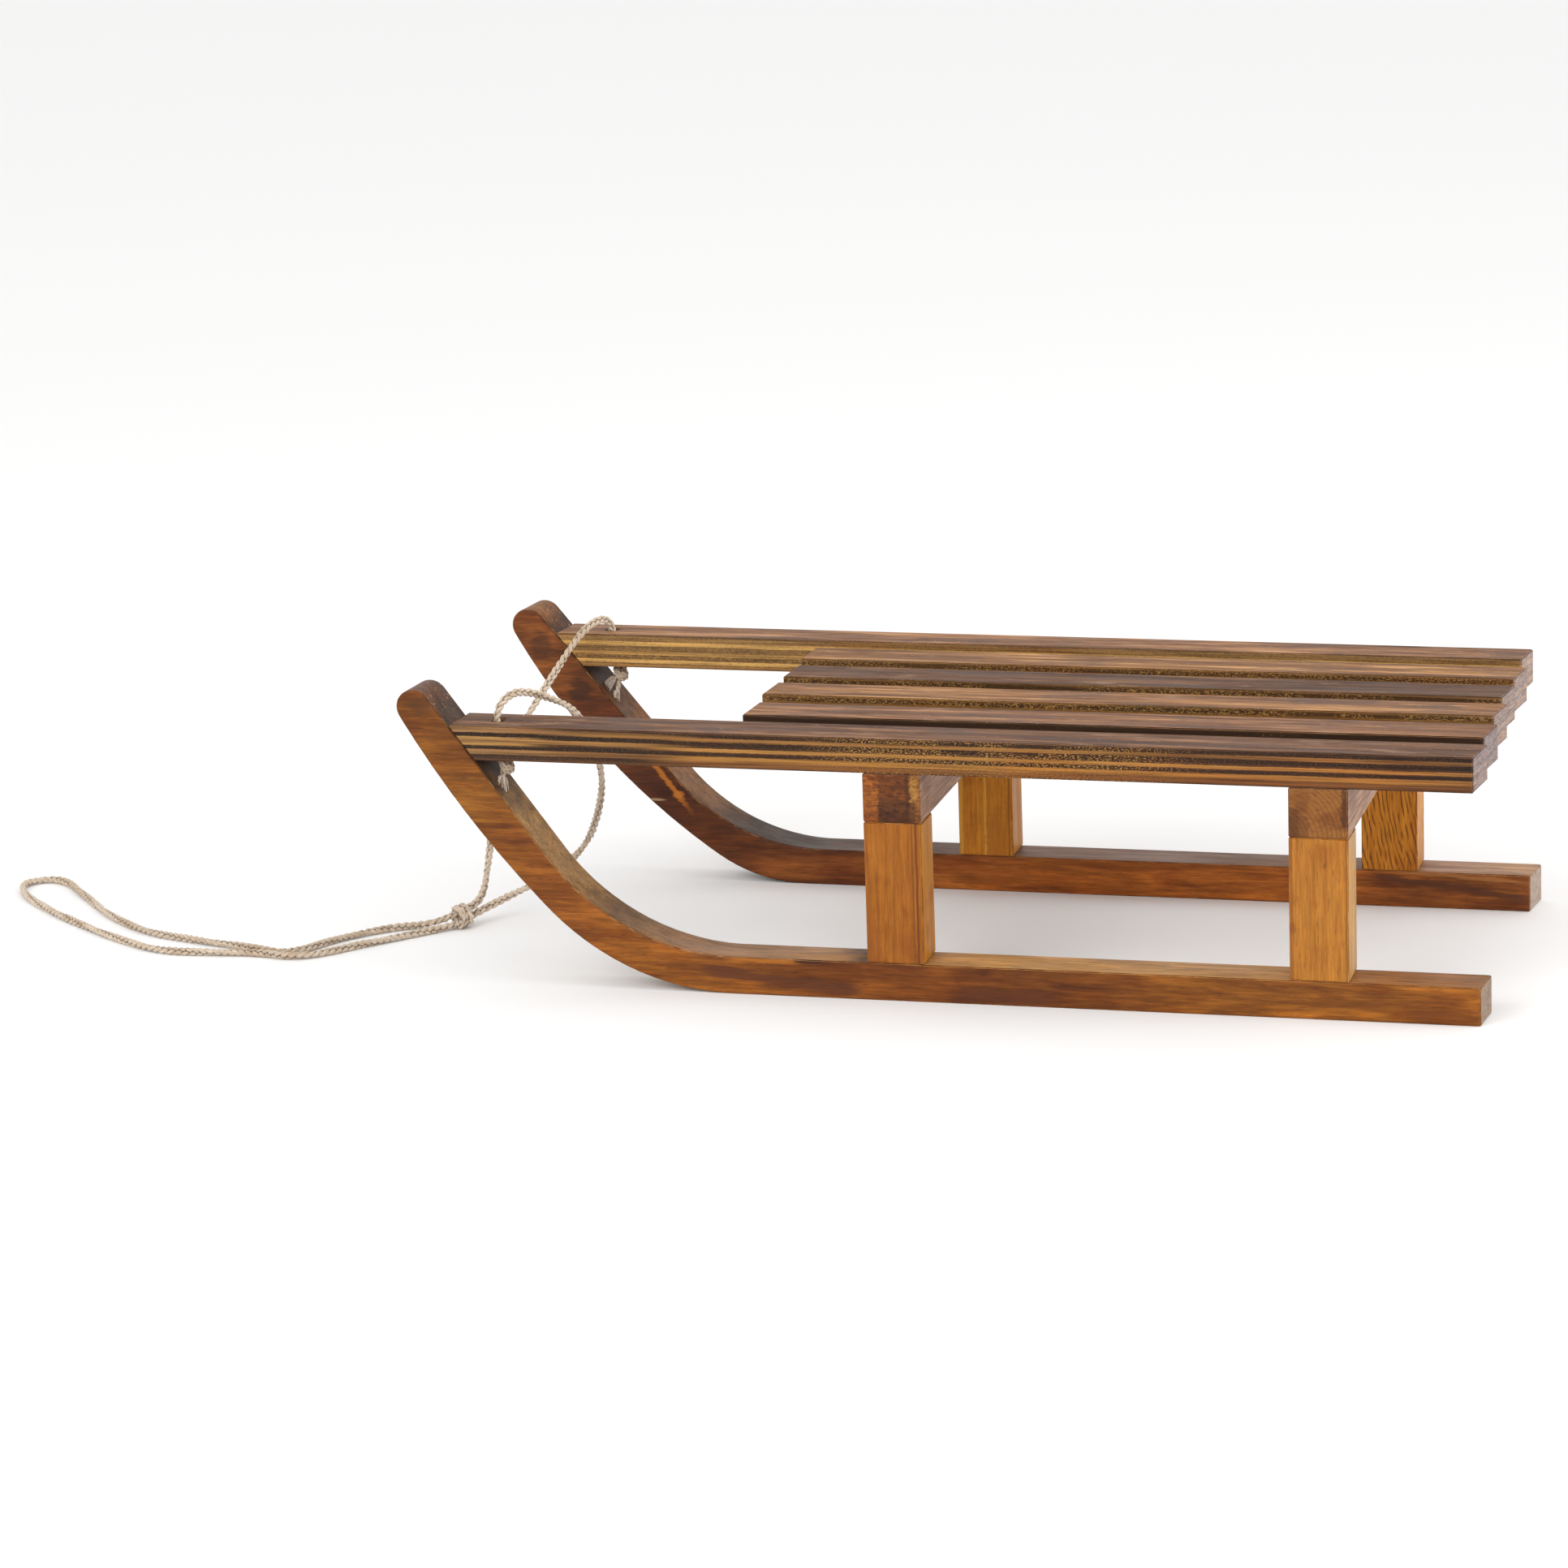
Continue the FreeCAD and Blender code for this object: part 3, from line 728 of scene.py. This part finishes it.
def drawn_bands(s, colour, bands):
    """Streaks that run slantwise along a side: ends, half thickness in millimetres, colour, share."""
    x, _, z = s.split(s.place)
    for (x0, z0), (x1, z1), half, tint, share in bands:
        slope = (z1 - z0) / (x1 - x0)
        ragged = s.swing(2.4 * half * MM, (45, 45, 500), detail=4, roughness=0.65)
        line = s.plus(s.times(s.minus(x, x0 * MM), slope), z0 * MM)
        off = s.math("ABSOLUTE", s.plus(s.minus(z, line), ragged))
        mask = s.times(s.span(off, half * MM, 0.35 * half * MM),
                       s.times(s.span(x, (x0 - 6) * MM, (x0 + 6) * MM),
                               s.span(x, (x1 + 6) * MM, (x1 - 6) * MM)))
        colour = s.mix(s.times(mask, share), colour, srgb(*tint))
    return colour


def strips(s, colour, layout):
    """Patches with straight but ragged sides: x from, to, z from, to in millimetres, colour, share."""
    x, _, z = s.split(s.place)
    ragged = s.swing(6.0 * MM, (260, 260, 420), detail=5, roughness=0.68)
    across, up = s.plus(x, ragged), s.plus(z, ragged)
    for x0, x1, z0, z1, tint, share in layout:
        mask = share
        for value, low, high in ((across, x0, x1), (up, z0, z1)):
            mask = s.times(mask, s.span(value, (low - 0.8) * MM, (low + 0.8) * MM))
            mask = s.times(mask, s.span(value, (high + 0.8) * MM, (high - 0.8) * MM))
        colour = s.mix(mask, colour, srgb(*tint))
    return colour


def along_x(s, stops):
    """Colours laid out along the sledge, each at its place in millimetres."""
    x = s.split(s.place)[0]
    reach = SLEDGE_REAR - SLEDGE_FRONT
    share = s.math("DIVIDE", s.minus(x, SLEDGE_FRONT * MM), reach * MM)
    share = s.plus(share, s.swing(0.05, (40, 90, 90), detail=3))
    return s.ramp(share, [((at - SLEDGE_FRONT) / reach, colour) for at, colour in stops])


def rubbed_edges(s, colour, seed, patchy, strength, bare):
    """Worn edges, broken into lengths; a lower patchy value wears more of them."""
    broken = s.texture((120, 120, 120), (seed, seed, seed), detail=3)
    worn = s.span(s.attribute("edge"), 0.30, 0.75)
    mask = s.times(worn, s.span(broken, patchy - 0.04, patchy + 0.10))
    return s.mix(s.times(mask, strength), colour, bare)


def runner_material(name, seed, side_stops, side_map, upper_map, bands, spots, end_tint):
    """A runner: stained sides with their own marks, a paler upper face whose greyish paleness is partly
    painted sheen, open end grain.
    """
    s = Shader(name)
    colour, height = figured(s, 0, side_stops, seed)
    colour = s.tint(colour, along_x(s, side_map))
    colour = blotched(s, colour, ((16, 42, 0.47, 0.62, (0.66, 0.54, 0.46), 0.8),
                                  (30, 120, 0.54, 0.66, (1.30, 1.20, 1.0), 0.6),
                                  (55, 260, 0.55, 0.68, (0.72, 0.62, 0.54), 0.5)), seed)
    colour = drawn_bands(s, colour, bands)
    colour = spotted(s, colour, spots)
    turned = s.facing()
    # The upper face gets its own greyish colours along its length; their paleness is partly painted sheen.
    upper, _ = figured(s, 0, ((0.0, (0.66, 0.64, 0.62)), (0.5, (1, 1, 1)), (1.0, (1.30, 1.28, 1.25))),
                       seed + 5, streaks=(30, 200))
    upper = s.tint(upper, along_x(s, upper_map))
    flecks = s.span(s.texture((420, 420, 420), (seed, 0, 0), detail=4, roughness=0.7), 0.60, 0.66)
    x = s.split(s.place)[0]
    at_toe = s.span(x, -234 * MM, -246 * MM, 0.0, 0.7)
    upper = s.mix(s.times(flecks, at_toe), upper, srgb(188, 140, 92))
    colour = s.mix(s.span(turned[1], 0.75, 0.55), colour, upper)
    cut = s.times(s.span(turned[0], 0.85, 0.95), s.span(x, 0.20, 0.22))
    rough_cut = s.texture((500, 900, 600), detail=5, roughness=0.62)
    end_grain = s.ramp(rough_cut, tones((0.35, 104, 80, 62), (0.5, 130, 106, 88), (0.66, 158, 134, 114)))
    # The tint of the cut end; the far runner's pale bluish lift is painted light.
    colour = s.mix(cut, colour, s.tint(end_grain, end_tint))
    colour = rubbed_edges(s, colour, seed, 0.49, 0.60, srgb(200, 150, 96))
    rough = s.span(s.texture(grain(0, 20, 90), (seed, 0, 0), detail=2), 0.3, 0.7, 0.40, 0.58)
    height = s.plus(height, s.times(s.times(rough_cut, cut), 2.5))
    return s.finish(colour, rough, height, 0.10 * MM)


def post_material(name, seed, stops, spots, lines, painted_light_tint, cathedral):
    """A post with upright grain. Lines are single grain lines: place along the sledge and half
    width in millimetres, colour, share. Cathedral is the strength of arched dark rings. The
    tint for the faces turned along the sledge is painted light and shade."""
    s = Shader(name)
    x, y, z = s.split(s.place)
    colour, height = figured(s, 2, stops, seed, streaks=(7, 240), contrast=0.65, crisp=0.55)
    if cathedral:
        bent = s.plus(s.times(s.plus(x, y), 620.0), s.times(z, 120.0))
        wavy = s.times(s.texture((60, 60, 26), (seed, 0, 0), detail=2), 5.5)
        rings = s.math("SINE", s.times(s.plus(bent, wavy), 4.0))
        dashes = s.span(s.texture((600, 600, 80), (seed, 1, 0), detail=2), 0.38, 0.54)
        mask = s.times(s.times(s.span(rings, 0.25, 0.85), dashes), cathedral)
        colour = s.mix(mask, colour, srgb(86, 42, 12))
    colour = blotched(s, colour, ((45, 30, 0.50, 0.66, (0.74, 0.62, 0.50), 0.7),
                                  (70, 50, 0.55, 0.68, (1.18, 1.15, 1.0), 0.6)), seed)
    wobble = s.swing(1.6 * MM, (0, 0, 40), (seed, 0, 2), detail=2)
    for place, width, tint, share in lines:
        off = s.math("ABSOLUTE", s.minus(s.plus(x, wobble), place * MM))
        mask = s.times(s.span(off, width * MM, width * 0.25 * MM), share)
        colour = s.mix(mask, colour, srgb(*tint))
    colour = spotted(s, colour, spots)
    # Painted light and shade: the faces turned to the front and rear of the sledge get their own lighter or
    # darker tint.
    rear = s.tint(colour, painted_light_tint)
    colour = s.mix(s.span(s.facing()[0], 0.6, 0.8), colour, rear)
    colour = rubbed_edges(s, colour, seed, 0.50, 0.60, srgb(218, 176, 120))
    rough = s.span(s.texture(grain(2, 25, 90), (seed, 0, 0), detail=2), 0.3, 0.7, 0.42, 0.56)
    return s.finish(colour, rough, height, 0.08 * MM)


def beam_material(name, seed, layout, ring_centre, roughness_share):
    """A crossbeam: end grain towards the side of the sledge, sawn long grain elsewhere."""
    s = Shader(name)
    x, _, z = s.split(s.place)
    dx = s.minus(x, ring_centre[0] * MM)
    dz = s.minus(z, ring_centre[1] * MM)
    length = s.math("SQRT", s.plus(s.times(dx, dx), s.times(dz, dz)))
    wave = s.times(s.texture((90, 0, 90), (seed, 0, 0), detail=3), 3.4 * MM)
    rings = s.math("SINE", s.times(s.plus(length, wave), 2 * math.pi / (2.3 * MM)))
    end = s.ramp(s.span(rings, -1, 1), tones((0.0, 130, 80, 34), (0.6, 136, 86, 38), (1.0, 142, 91, 41)))
    end = strips(s, end, layout)
    torn = s.texture((330, 600, 760), (seed, 0, 0), detail=5, roughness=0.72, distortion=0.5)
    end = s.tint(end, s.ramp(torn, ((0.36, (0.18, 0.14, 0.12)), (0.48, (0.8, 0.75, 0.7)),
                                    (0.66, (1.6, 1.6, 1.5)))), roughness_share)
    end = blotched(s, end, ((70, 80, 0.48, 0.62, (0.66, 0.54, 0.46), 0.8),), seed)
    along, height = figured(s, 1, tones((0.0, 120, 82, 62), (0.5, 150, 112, 88), (1.0, 182, 148, 124)),
                            seed, streaks=(30, 500))
    turned = s.facing()
    colour = s.mix(s.span(turned[1], 0.6, 0.8), along, end)
    colour = rubbed_edges(s, colour, seed, 0.50, 0.40, srgb(96, 56, 28))
    height = s.plus(height, s.times(torn, 2.0 * roughness_share))
    return s.finish(colour, 0.52, height, 0.14 * MM)


PLY_LOW = 117.0 * MM
PLY_THICK = 18.0 * MM


def banded(s, height_share, layers):
    """Plies from the bottom up: (top of the ply, colour), with narrow dark joints blended between."""
    stops, bottom, soft = [], 0.0, 0.010
    for top, colour in layers:
        stops += [(min(bottom + soft, 1.0), colour), (max(top - soft, bottom + soft), colour)]
        bottom = top
    return s.ramp(height_share, stops)


PLIES_BODY = tones((0.05, 84, 52, 28), (0.19, 122, 80, 40), (0.335, 162, 115, 55), (0.44, 52, 29, 11),
                   (0.465, 96, 63, 33), (0.56, 168, 122, 62), (0.62, 72, 44, 22), (0.745, 46, 25, 8),
                   (0.85, 142, 101, 54), (0.965, 50, 28, 12), (1.0, 86, 62, 48))
PLIES_MIDDLE = tones((0.10, 88, 56, 32), (0.20, 60, 37, 21), (0.345, 118, 82, 46), (0.49, 42, 25, 14),
                     (0.53, 90, 60, 32), (0.65, 146, 106, 58), (0.78, 38, 22, 12), (0.88, 134, 96, 50),
                     (0.93, 104, 72, 38), (1.0, 40, 24, 14))
PLIES_FRONT = tones((0.055, 100, 68, 42), (0.20, 62, 40, 26), (0.345, 140, 104, 64), (0.445, 42, 26, 16),
                    (0.53, 164, 124, 68), (0.62, 136, 100, 58), (0.70, 168, 128, 74), (0.82, 40, 25, 15),
                    (1.0, 142, 106, 68))
PLIES_PALE = tones((0.12, 140, 102, 56), (0.15, 118, 84, 46), (0.26, 190, 148, 84), (0.40, 110, 80, 44),
                   (0.50, 166, 126, 70), (0.68, 114, 84, 48), (0.80, 188, 146, 82), (0.95, 134, 100, 58),
                   (1.0, 112, 84, 56))
PLIES_SLAT = tones((0.10, 92, 60, 34), (0.30, 150, 108, 52), (0.44, 46, 28, 15), (0.575, 150, 108, 54),
                   (0.70, 44, 27, 15), (0.82, 122, 86, 42), (0.93, 74, 48, 22), (1.0, 104, 72, 34))


def ply_material(name, seed, top_tint, specks, where=(-400, 400), plies=PLIES_SLAT, painted_gap_shade=0.0,
                 changes=(), wash=()):
    """Stained plywood: a rubbed walnut-coloured face, and the plies showing along its sawn sides.

    Specks are the open pores of the cross plies: how much of the length has many and how strong
    they are; most lie between the two places of where. Changes are other orders of plies, with the
    places where each begins to give way and has gone. A wash tints the sides along the length."""
    s = Shader(name)
    x, _, z = s.split(s.place)
    shift = (seed * 2.9, seed * 4.1, seed * 6.3)
    sway = s.swing(0.04, (16, 16, 0), shift, detail=3)
    rag = s.swing(0.040, (260, 260, 420), shift, detail=4, roughness=0.65)
    share = s.math("DIVIDE", s.minus(z, PLY_LOW), PLY_THICK)
    share = s.math("ADD", s.plus(share, sway), rag, clamp=True)
    body = banded(s, share, plies)
    jag = s.swing(70 * MM, (12, 12, 330), shift, detail=2)
    for other, begin, done in changes:
        ahead = s.span(s.plus(x, jag), done * MM, begin * MM)
        body = s.mix(ahead, body, banded(s, share, other))
    bare = s.nodes.new("ShaderNodeRGBToBW")
    s.feed(bare.inputs[0], body)
    in_dark = s.span(bare.outputs[0], 0.12, 0.04, 0.15, 1.0)
    lines = s.texture((20, 20, 1500), shift, detail=4, roughness=0.6)
    body = s.tint(body, s.ramp(lines, ((0.34, (0.50, 0.46, 0.42)), (0.50, (1, 1, 1)),
                                       (0.64, (1.34, 1.32, 1.28)))))
    plenty, strength = specks
    pore = s.texture((760, 1000, 1700), shift, detail=3, roughness=0.66)
    spread = s.texture((20, 20, 50), shift, detail=3)
    rich = s.span(spread, 0.66 - 0.36 * plenty, 0.76 - 0.36 * plenty, 0.10, 1.0)
    low, high = where
    rich = s.times(rich, s.times(s.span(x, low * MM, (low + 40) * MM, 0.12, 1.0),
                                 s.span(x, high * MM, (high - 60) * MM, 0.12, 1.0)))
    light = s.times(s.times(s.span(pore, 0.52, 0.58), rich), s.times(in_dark, strength))
    body = s.mix(light, body, srgb(196, 148, 78))
    dark = s.times(s.times(s.span(pore, 0.45, 0.39), rich), 0.4 * strength)
    body = s.mix(dark, body, srgb(54, 32, 14))
    warm = s.span(s.texture((13, 13, 50), shift, detail=3), 0.5, 0.66)
    body = s.tint(body, (1.10, 0.82, 0.60), s.times(warm, 0.40))
    # Painted shade: a side seen only in a narrow gap, as slat 2's beside the near rail, is darkened almost to
    # black.
    if painted_gap_shade:
        body = s.mix(painted_gap_shade, body, srgb(34, 19, 10))
    if wash:
        body = s.tint(body, along_x(s, wash))
    top, height = figured(s, 0, WALNUT, seed, streaks=(10, 170), contrast=1.1)
    top = s.tint(top, top_tint)
    rubbed = s.texture((22, 90, 90), shift, detail=5, roughness=0.65)
    top = s.mix(s.times(s.span(rubbed, 0.54, 0.70), 0.50), top, srgb(166, 134, 110))
    top = s.mix(s.times(s.span(rubbed, 0.46, 0.36), 0.50), top, srgb(66, 40, 28))
    nicks = s.span(s.texture((240, 900, 900), shift, detail=2), 0.70, 0.76)
    top = s.mix(s.times(nicks, 0.5), top, srgb(214, 184, 156))
    turned = s.facing()
    colour = s.mix(s.span(turned[2], 0.6, 0.8), body, top)
    sawn = s.texture((300, 200, 1300), shift, detail=5, roughness=0.62)
    end = s.mix(0.66, body, s.ramp(sawn, tones((0.36, 102, 88, 85), (0.5, 133, 119, 118),
                                               (0.66, 163, 149, 148))))
    colour = s.mix(s.span(turned[0], 0.6, 0.85), colour, end)
    colour = rubbed_edges(s, colour, seed, 0.47, 0.38, srgb(150, 118, 94))
    rough = s.span(rubbed, 0.35, 0.65, 0.50, 0.68)
    height = s.plus(height, s.times(s.minus(1.0, s.span(turned[2], 0.6, 0.8)), s.times(pore, 1.6)))
    return s.finish(colour, rough, height, 0.12 * MM)


def plain_wood_material():
    s = Shader("pale_dowel")
    colour, height = figured(s, 2, tones((0.0, 176, 140, 98), (0.5, 200, 166, 122), (1.0, 220, 190, 150)),
                             3)
    return s.finish(colour, 0.6, height, 0.05 * MM, PLAIN_SPECULAR)


def steel_material():
    s = Shader("zinc_screw")
    s.surface.inputs["Metallic"].default_value = 1.0
    turned = s.texture((2500, 2500, 300), detail=3)
    colour = s.ramp(turned, tones((0.35, 150, 146, 132), (0.65, 196, 192, 176)))
    return s.finish(colour, s.span(turned, 0.3, 0.7, 0.28, 0.42), turned, 0.02 * MM, PLAIN_SPECULAR)


def make_runners():
    """The runners. Maps tint a face along its length; bands and spots are single marks on a side."""
    near_side = ((-278, (0.64, 0.58, 0.58)), (-262, (0.88, 0.92, 0.9)), (-235, (0.96, 1.02, 1.0)),
                 (-200, (0.84, 0.72, 0.66)), (-160, (0.95, 0.89, 0.83)), (-120, (0.94, 0.9, 0.9)),
                 (-85, (0.80, 0.72, 0.70)), (-42, (0.76, 0.66, 0.64)), (-36, (0.92, 0.84, 0.80)),
                 (8, (0.92, 0.84, 0.80)), (16, (0.66, 0.56, 0.56)), (110, (0.84, 0.80, 0.78)),
                 (200, (1.05, 1.05, 1.0)), (274, (1.12, 1.10, 1.0)))
    # On the near runner's upper face the dark stop at X -221, under the stopper knot, is painted shadow, and
    # the paler lilac stop at -95 is painted sheen.
    near_upper = tones((-277, 112, 78, 58), (-264, 96, 62, 42), (-248, 62, 42, 28), (-229, 60, 42, 28),
                       (-221, 110, 82, 52), (-212, 160, 124, 80), (-180, 146, 110, 68),
                       (-166, 104, 74, 46), (-150, 138, 104, 70), (-125, 150, 114, 84),
                       (-95, 160, 124, 92), (-50, 166, 124, 78), (-36, 92, 62, 34), (0, 191, 145, 88),
                       (172, 191, 144, 88), (225, 146, 98, 54), (274, 134, 92, 54))
    near_bands = (((-118, 12), (-38, 3.5), 4.2, (84, 44, 24), 0.75),
                  ((-104, 18), (-70, 18.6), 2.2, (172, 104, 34), 0.75),
                  ((12, 5), (60, 4), 5.0, (86, 46, 26), 0.55),
                  ((-60, 8), (-40, 6), 3.0, (70, 36, 20), 0.4))
    near = runner_material("near_runner_stain", 1.0, ORANGE, near_side, near_upper, near_bands, (
        ((-64, -114, 18.4), (8, 3, 1.5), (60, 32, 18), 0.85),
        ((-262, -114, 144), (8, 3, 6), (84, 50, 24), 0.55),
        ((-252, -114, 132), (12, 3, 3), (96, 56, 24), 0.45),
        ((250, -114, 5), (14, 3, 2.5), (110, 58, 24), 0.6)), (0.90, 0.91, 0.85))
    # The lift to about 1.6 from X 0 to 150 is painted light: it makes up for the seat's shade on this
    # runner's sides.
    far_side = ((-280, (0.70, 0.62, 0.62)), (-262, (0.76, 0.74, 0.70)), (-225, (0.44, 0.38, 0.36)),
                (-205, (0.38, 0.32, 0.31)), (-150, (0.57, 0.51, 0.50)), (-80, (0.9, 0.86, 0.82)),
                (0, (1.62, 1.52, 1.15)), (150, (1.6, 1.5, 1.15)), (215, (1.0, 0.95, 0.9)),
                (272, (1.1, 1.05, 1.0)))
    far_upper = tones((-278, 150, 104, 60), (-262, 112, 72, 38), (-250, 50, 32, 24), (-232, 70, 44, 28),
                      (-205, 136, 92, 54), (-185, 140, 100, 66), (-150, 62, 44, 34), (-120, 78, 60, 48),
                      (-40, 108, 82, 66), (0, 124, 94, 76), (170, 132, 98, 76), (225, 158, 120, 92),
                      (272, 172, 136, 108))
    far_bands = (((188, 16.5), (270, 7), 3.2, (80, 44, 26), 0.8),
                 ((190, 20.5), (268, 15.5), 1.6, (176, 118, 66), 0.5),
                 ((-205, 69), (-184, 42), 3.4, (174, 100, 30), 0.88))
    far = runner_material("far_runner_stain", 2.0, RED, far_side, far_upper, far_bands, (
        ((-188, 90, 47), (4, 3, 2.5), (178, 104, 30), 0.8),
        ((-200, 90, 44), (5.5, 3, 0.8), (190, 160, 124), 0.5),
        ((-262, 90, 128), (7, 3, 9), (60, 32, 16), 0.6),
        ((-240, 90, 104), (8, 3, 8), (48, 26, 14), 0.7)), (1.23, 1.37, 1.56))
    add_wood("near_runner", near, RUNNER_CUTS, 1, curved=True)
    add_wood("far_runner", far, RUNNER_CUTS, 2, curved=True)


def make_frames():
    """The posts, each with its own spots and grain lines, and the crossbeams."""
    # Each post's tint for its faces turned along the sledge is painted light and shade.
    for node, seed, stain, spots, lines, painted_light_tint, cathedral in (
            ("front_near_post", 3, HONEY,
             (((-30, -114, 30), (6, 3, 16), (136, 74, 24), 0.45),
              ((-14, -114, 28), (8, 3, 10), (142, 80, 26), 0.4)),
             ((-6.4, 0.9, LINE_DARK, 0.85), (-8.4, 0.6, (112, 60, 22), 0.6),
              (-31.5, 1.2, (126, 70, 24), 0.5)), (1.40, 1.70, 1.48), 0.0),
            ("front_far_post", 4, AMBER_WITH_PAINTED_LIGHT, (((-12, 90, 30), (8, 3, 20), (168, 100, 28), 0.5),),
             ((-18.5, 1.0, LINE_PALE, 0.75), (-31.5, 1.6, LINE_PALE, 0.6),
              (-5.5, 0.8, LINE_DARK, 0.5)), (0.8, 0.85, 0.9), 0.0),
            ("rear_near_post", 5, PALE_HONEY,
             (((181.5, -114, 46), (2, 3, 3), (124, 66, 22), 0.5),),
             ((181.2, 1.2, (128, 72, 26), 0.6), (208.4, 0.6, LINE_DARK, 0.5)),
             (0.99, 1.42, 3.5), 0.0),
            ("rear_far_post", 6, AMBER_WITH_PAINTED_LIGHT, (), ((211.6, 0.6, LINE_DARK, 0.6),), (0.95, 1.1, 2.0), 0.75)):
        material = post_material(node + "_stain", float(seed), stain, spots, lines, painted_light_tint, cathedral)
        add_wood(node, material, POST_CUTS, seed)
    for node, name, seed, layout, ring_centre, torn_share in (
            ("front_crossbeam", "front_beam_stain", 7,
             ((-40, -25, 90, 126, (143, 80, 28), 0.9), (-25, -10, 90, 126, (97, 48, 16), 0.85),
              (-25, -6, 90, 103.5, (74, 42, 20), 0.7), (-10.8, -9.0, 90, 126, (60, 32, 16), 0.7),
              (-8.6, -5.0, 103.5, 126, (160, 114, 54), 0.85)), (-20, 60), 0.7),
            ("rear_crossbeam", "rear_beam_stain", 8,
             ((170, 185, 90, 107, (84, 46, 20), 0.6), (170, 190, 90, 102.5, (84, 46, 20), 0.5),
              (180, 192, 108, 118, (148, 98, 46), 0.5),
              (206.5, 211, 98, 118, (76, 44, 22), 0.7)), (176, 92), 0.22)):
        material = beam_material(name, float(seed), layout, ring_centre, torn_share)
        add_wood(node, material, BEAM_CUTS, seed)


def make_seat():
    """The side rails and the slats between them."""
    for node, seed, tint, look in (
            ("near_rail", 9, (0.84, 0.80, 0.76), dict(
                plies=PLIES_BODY, specks=(0.9, 0.8), where=(-70, 150),
                changes=((PLIES_MIDDLE, -150, -110), (PLIES_FRONT, -205, -180)),
                wash=((-260, (0.94, 0.92, 0.92)), (-190, (0.86, 0.80, 0.76)), (-120, (0.86, 0.80, 0.74)),
                      (-40, (0.88, 0.82, 0.74)), (60, (0.88, 0.83, 0.76)), (160, (0.74, 0.66, 0.62)),
                      (200, (0.84, 0.70, 0.60)), (270, (0.68, 0.60, 0.60))))),
            ("slat_2", 10, (1.25, 1.22, 1.15), dict(specks=(0.1, 0.6), painted_gap_shade=0.75)),
            ("slat_3", 11, (1.50, 1.50, 1.18), dict(specks=(0.9, 0.6))),
            ("slat_4", 12, (0.66, 0.62, 0.58), dict(specks=(0.8, 0.55))),
            ("slat_5", 13, (1.45, 1.45, 1.08), dict(specks=(0.8, 0.55))),
            ("far_rail", 14, (1.35, 1.36, 1.30), dict(
                plies=PLIES_PALE, specks=(1.4, 0.75)))):
        material = ply_material(node + "_stain", float(seed), tint, **look)
        add_wood(node, material, BOARD_CUTS, seed)


def dress_fixings():
    """The screws and dowels keep their CAD meshes and only get materials."""
    steel, dowel = steel_material(), plain_wood_material()
    for node, material in (("runner_screws", steel), ("slat_screws", steel), ("post_dowels", dowel),
                           ("toe_dowels", dowel)):
        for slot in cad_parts[node].material_slots:
            slot.material = material


# ---- build

make_camera()
make_studio()
JUTE = jute_material()
rope, rope_line = make_rope(JUTE)
knots = [
    make_tow_knot(JUTE),
    make_stopper("near_stopper_wraps", "near_stopper_knot", NEAR_STOPPER, NEAR_ENDS, 21, JUTE),
    make_stopper("far_stopper_wraps", "far_stopper_knot", FAR_STOPPER, FAR_ENDS, 22, JUTE)]
make_runners()
make_frames()
make_seat()
dress_fixings()
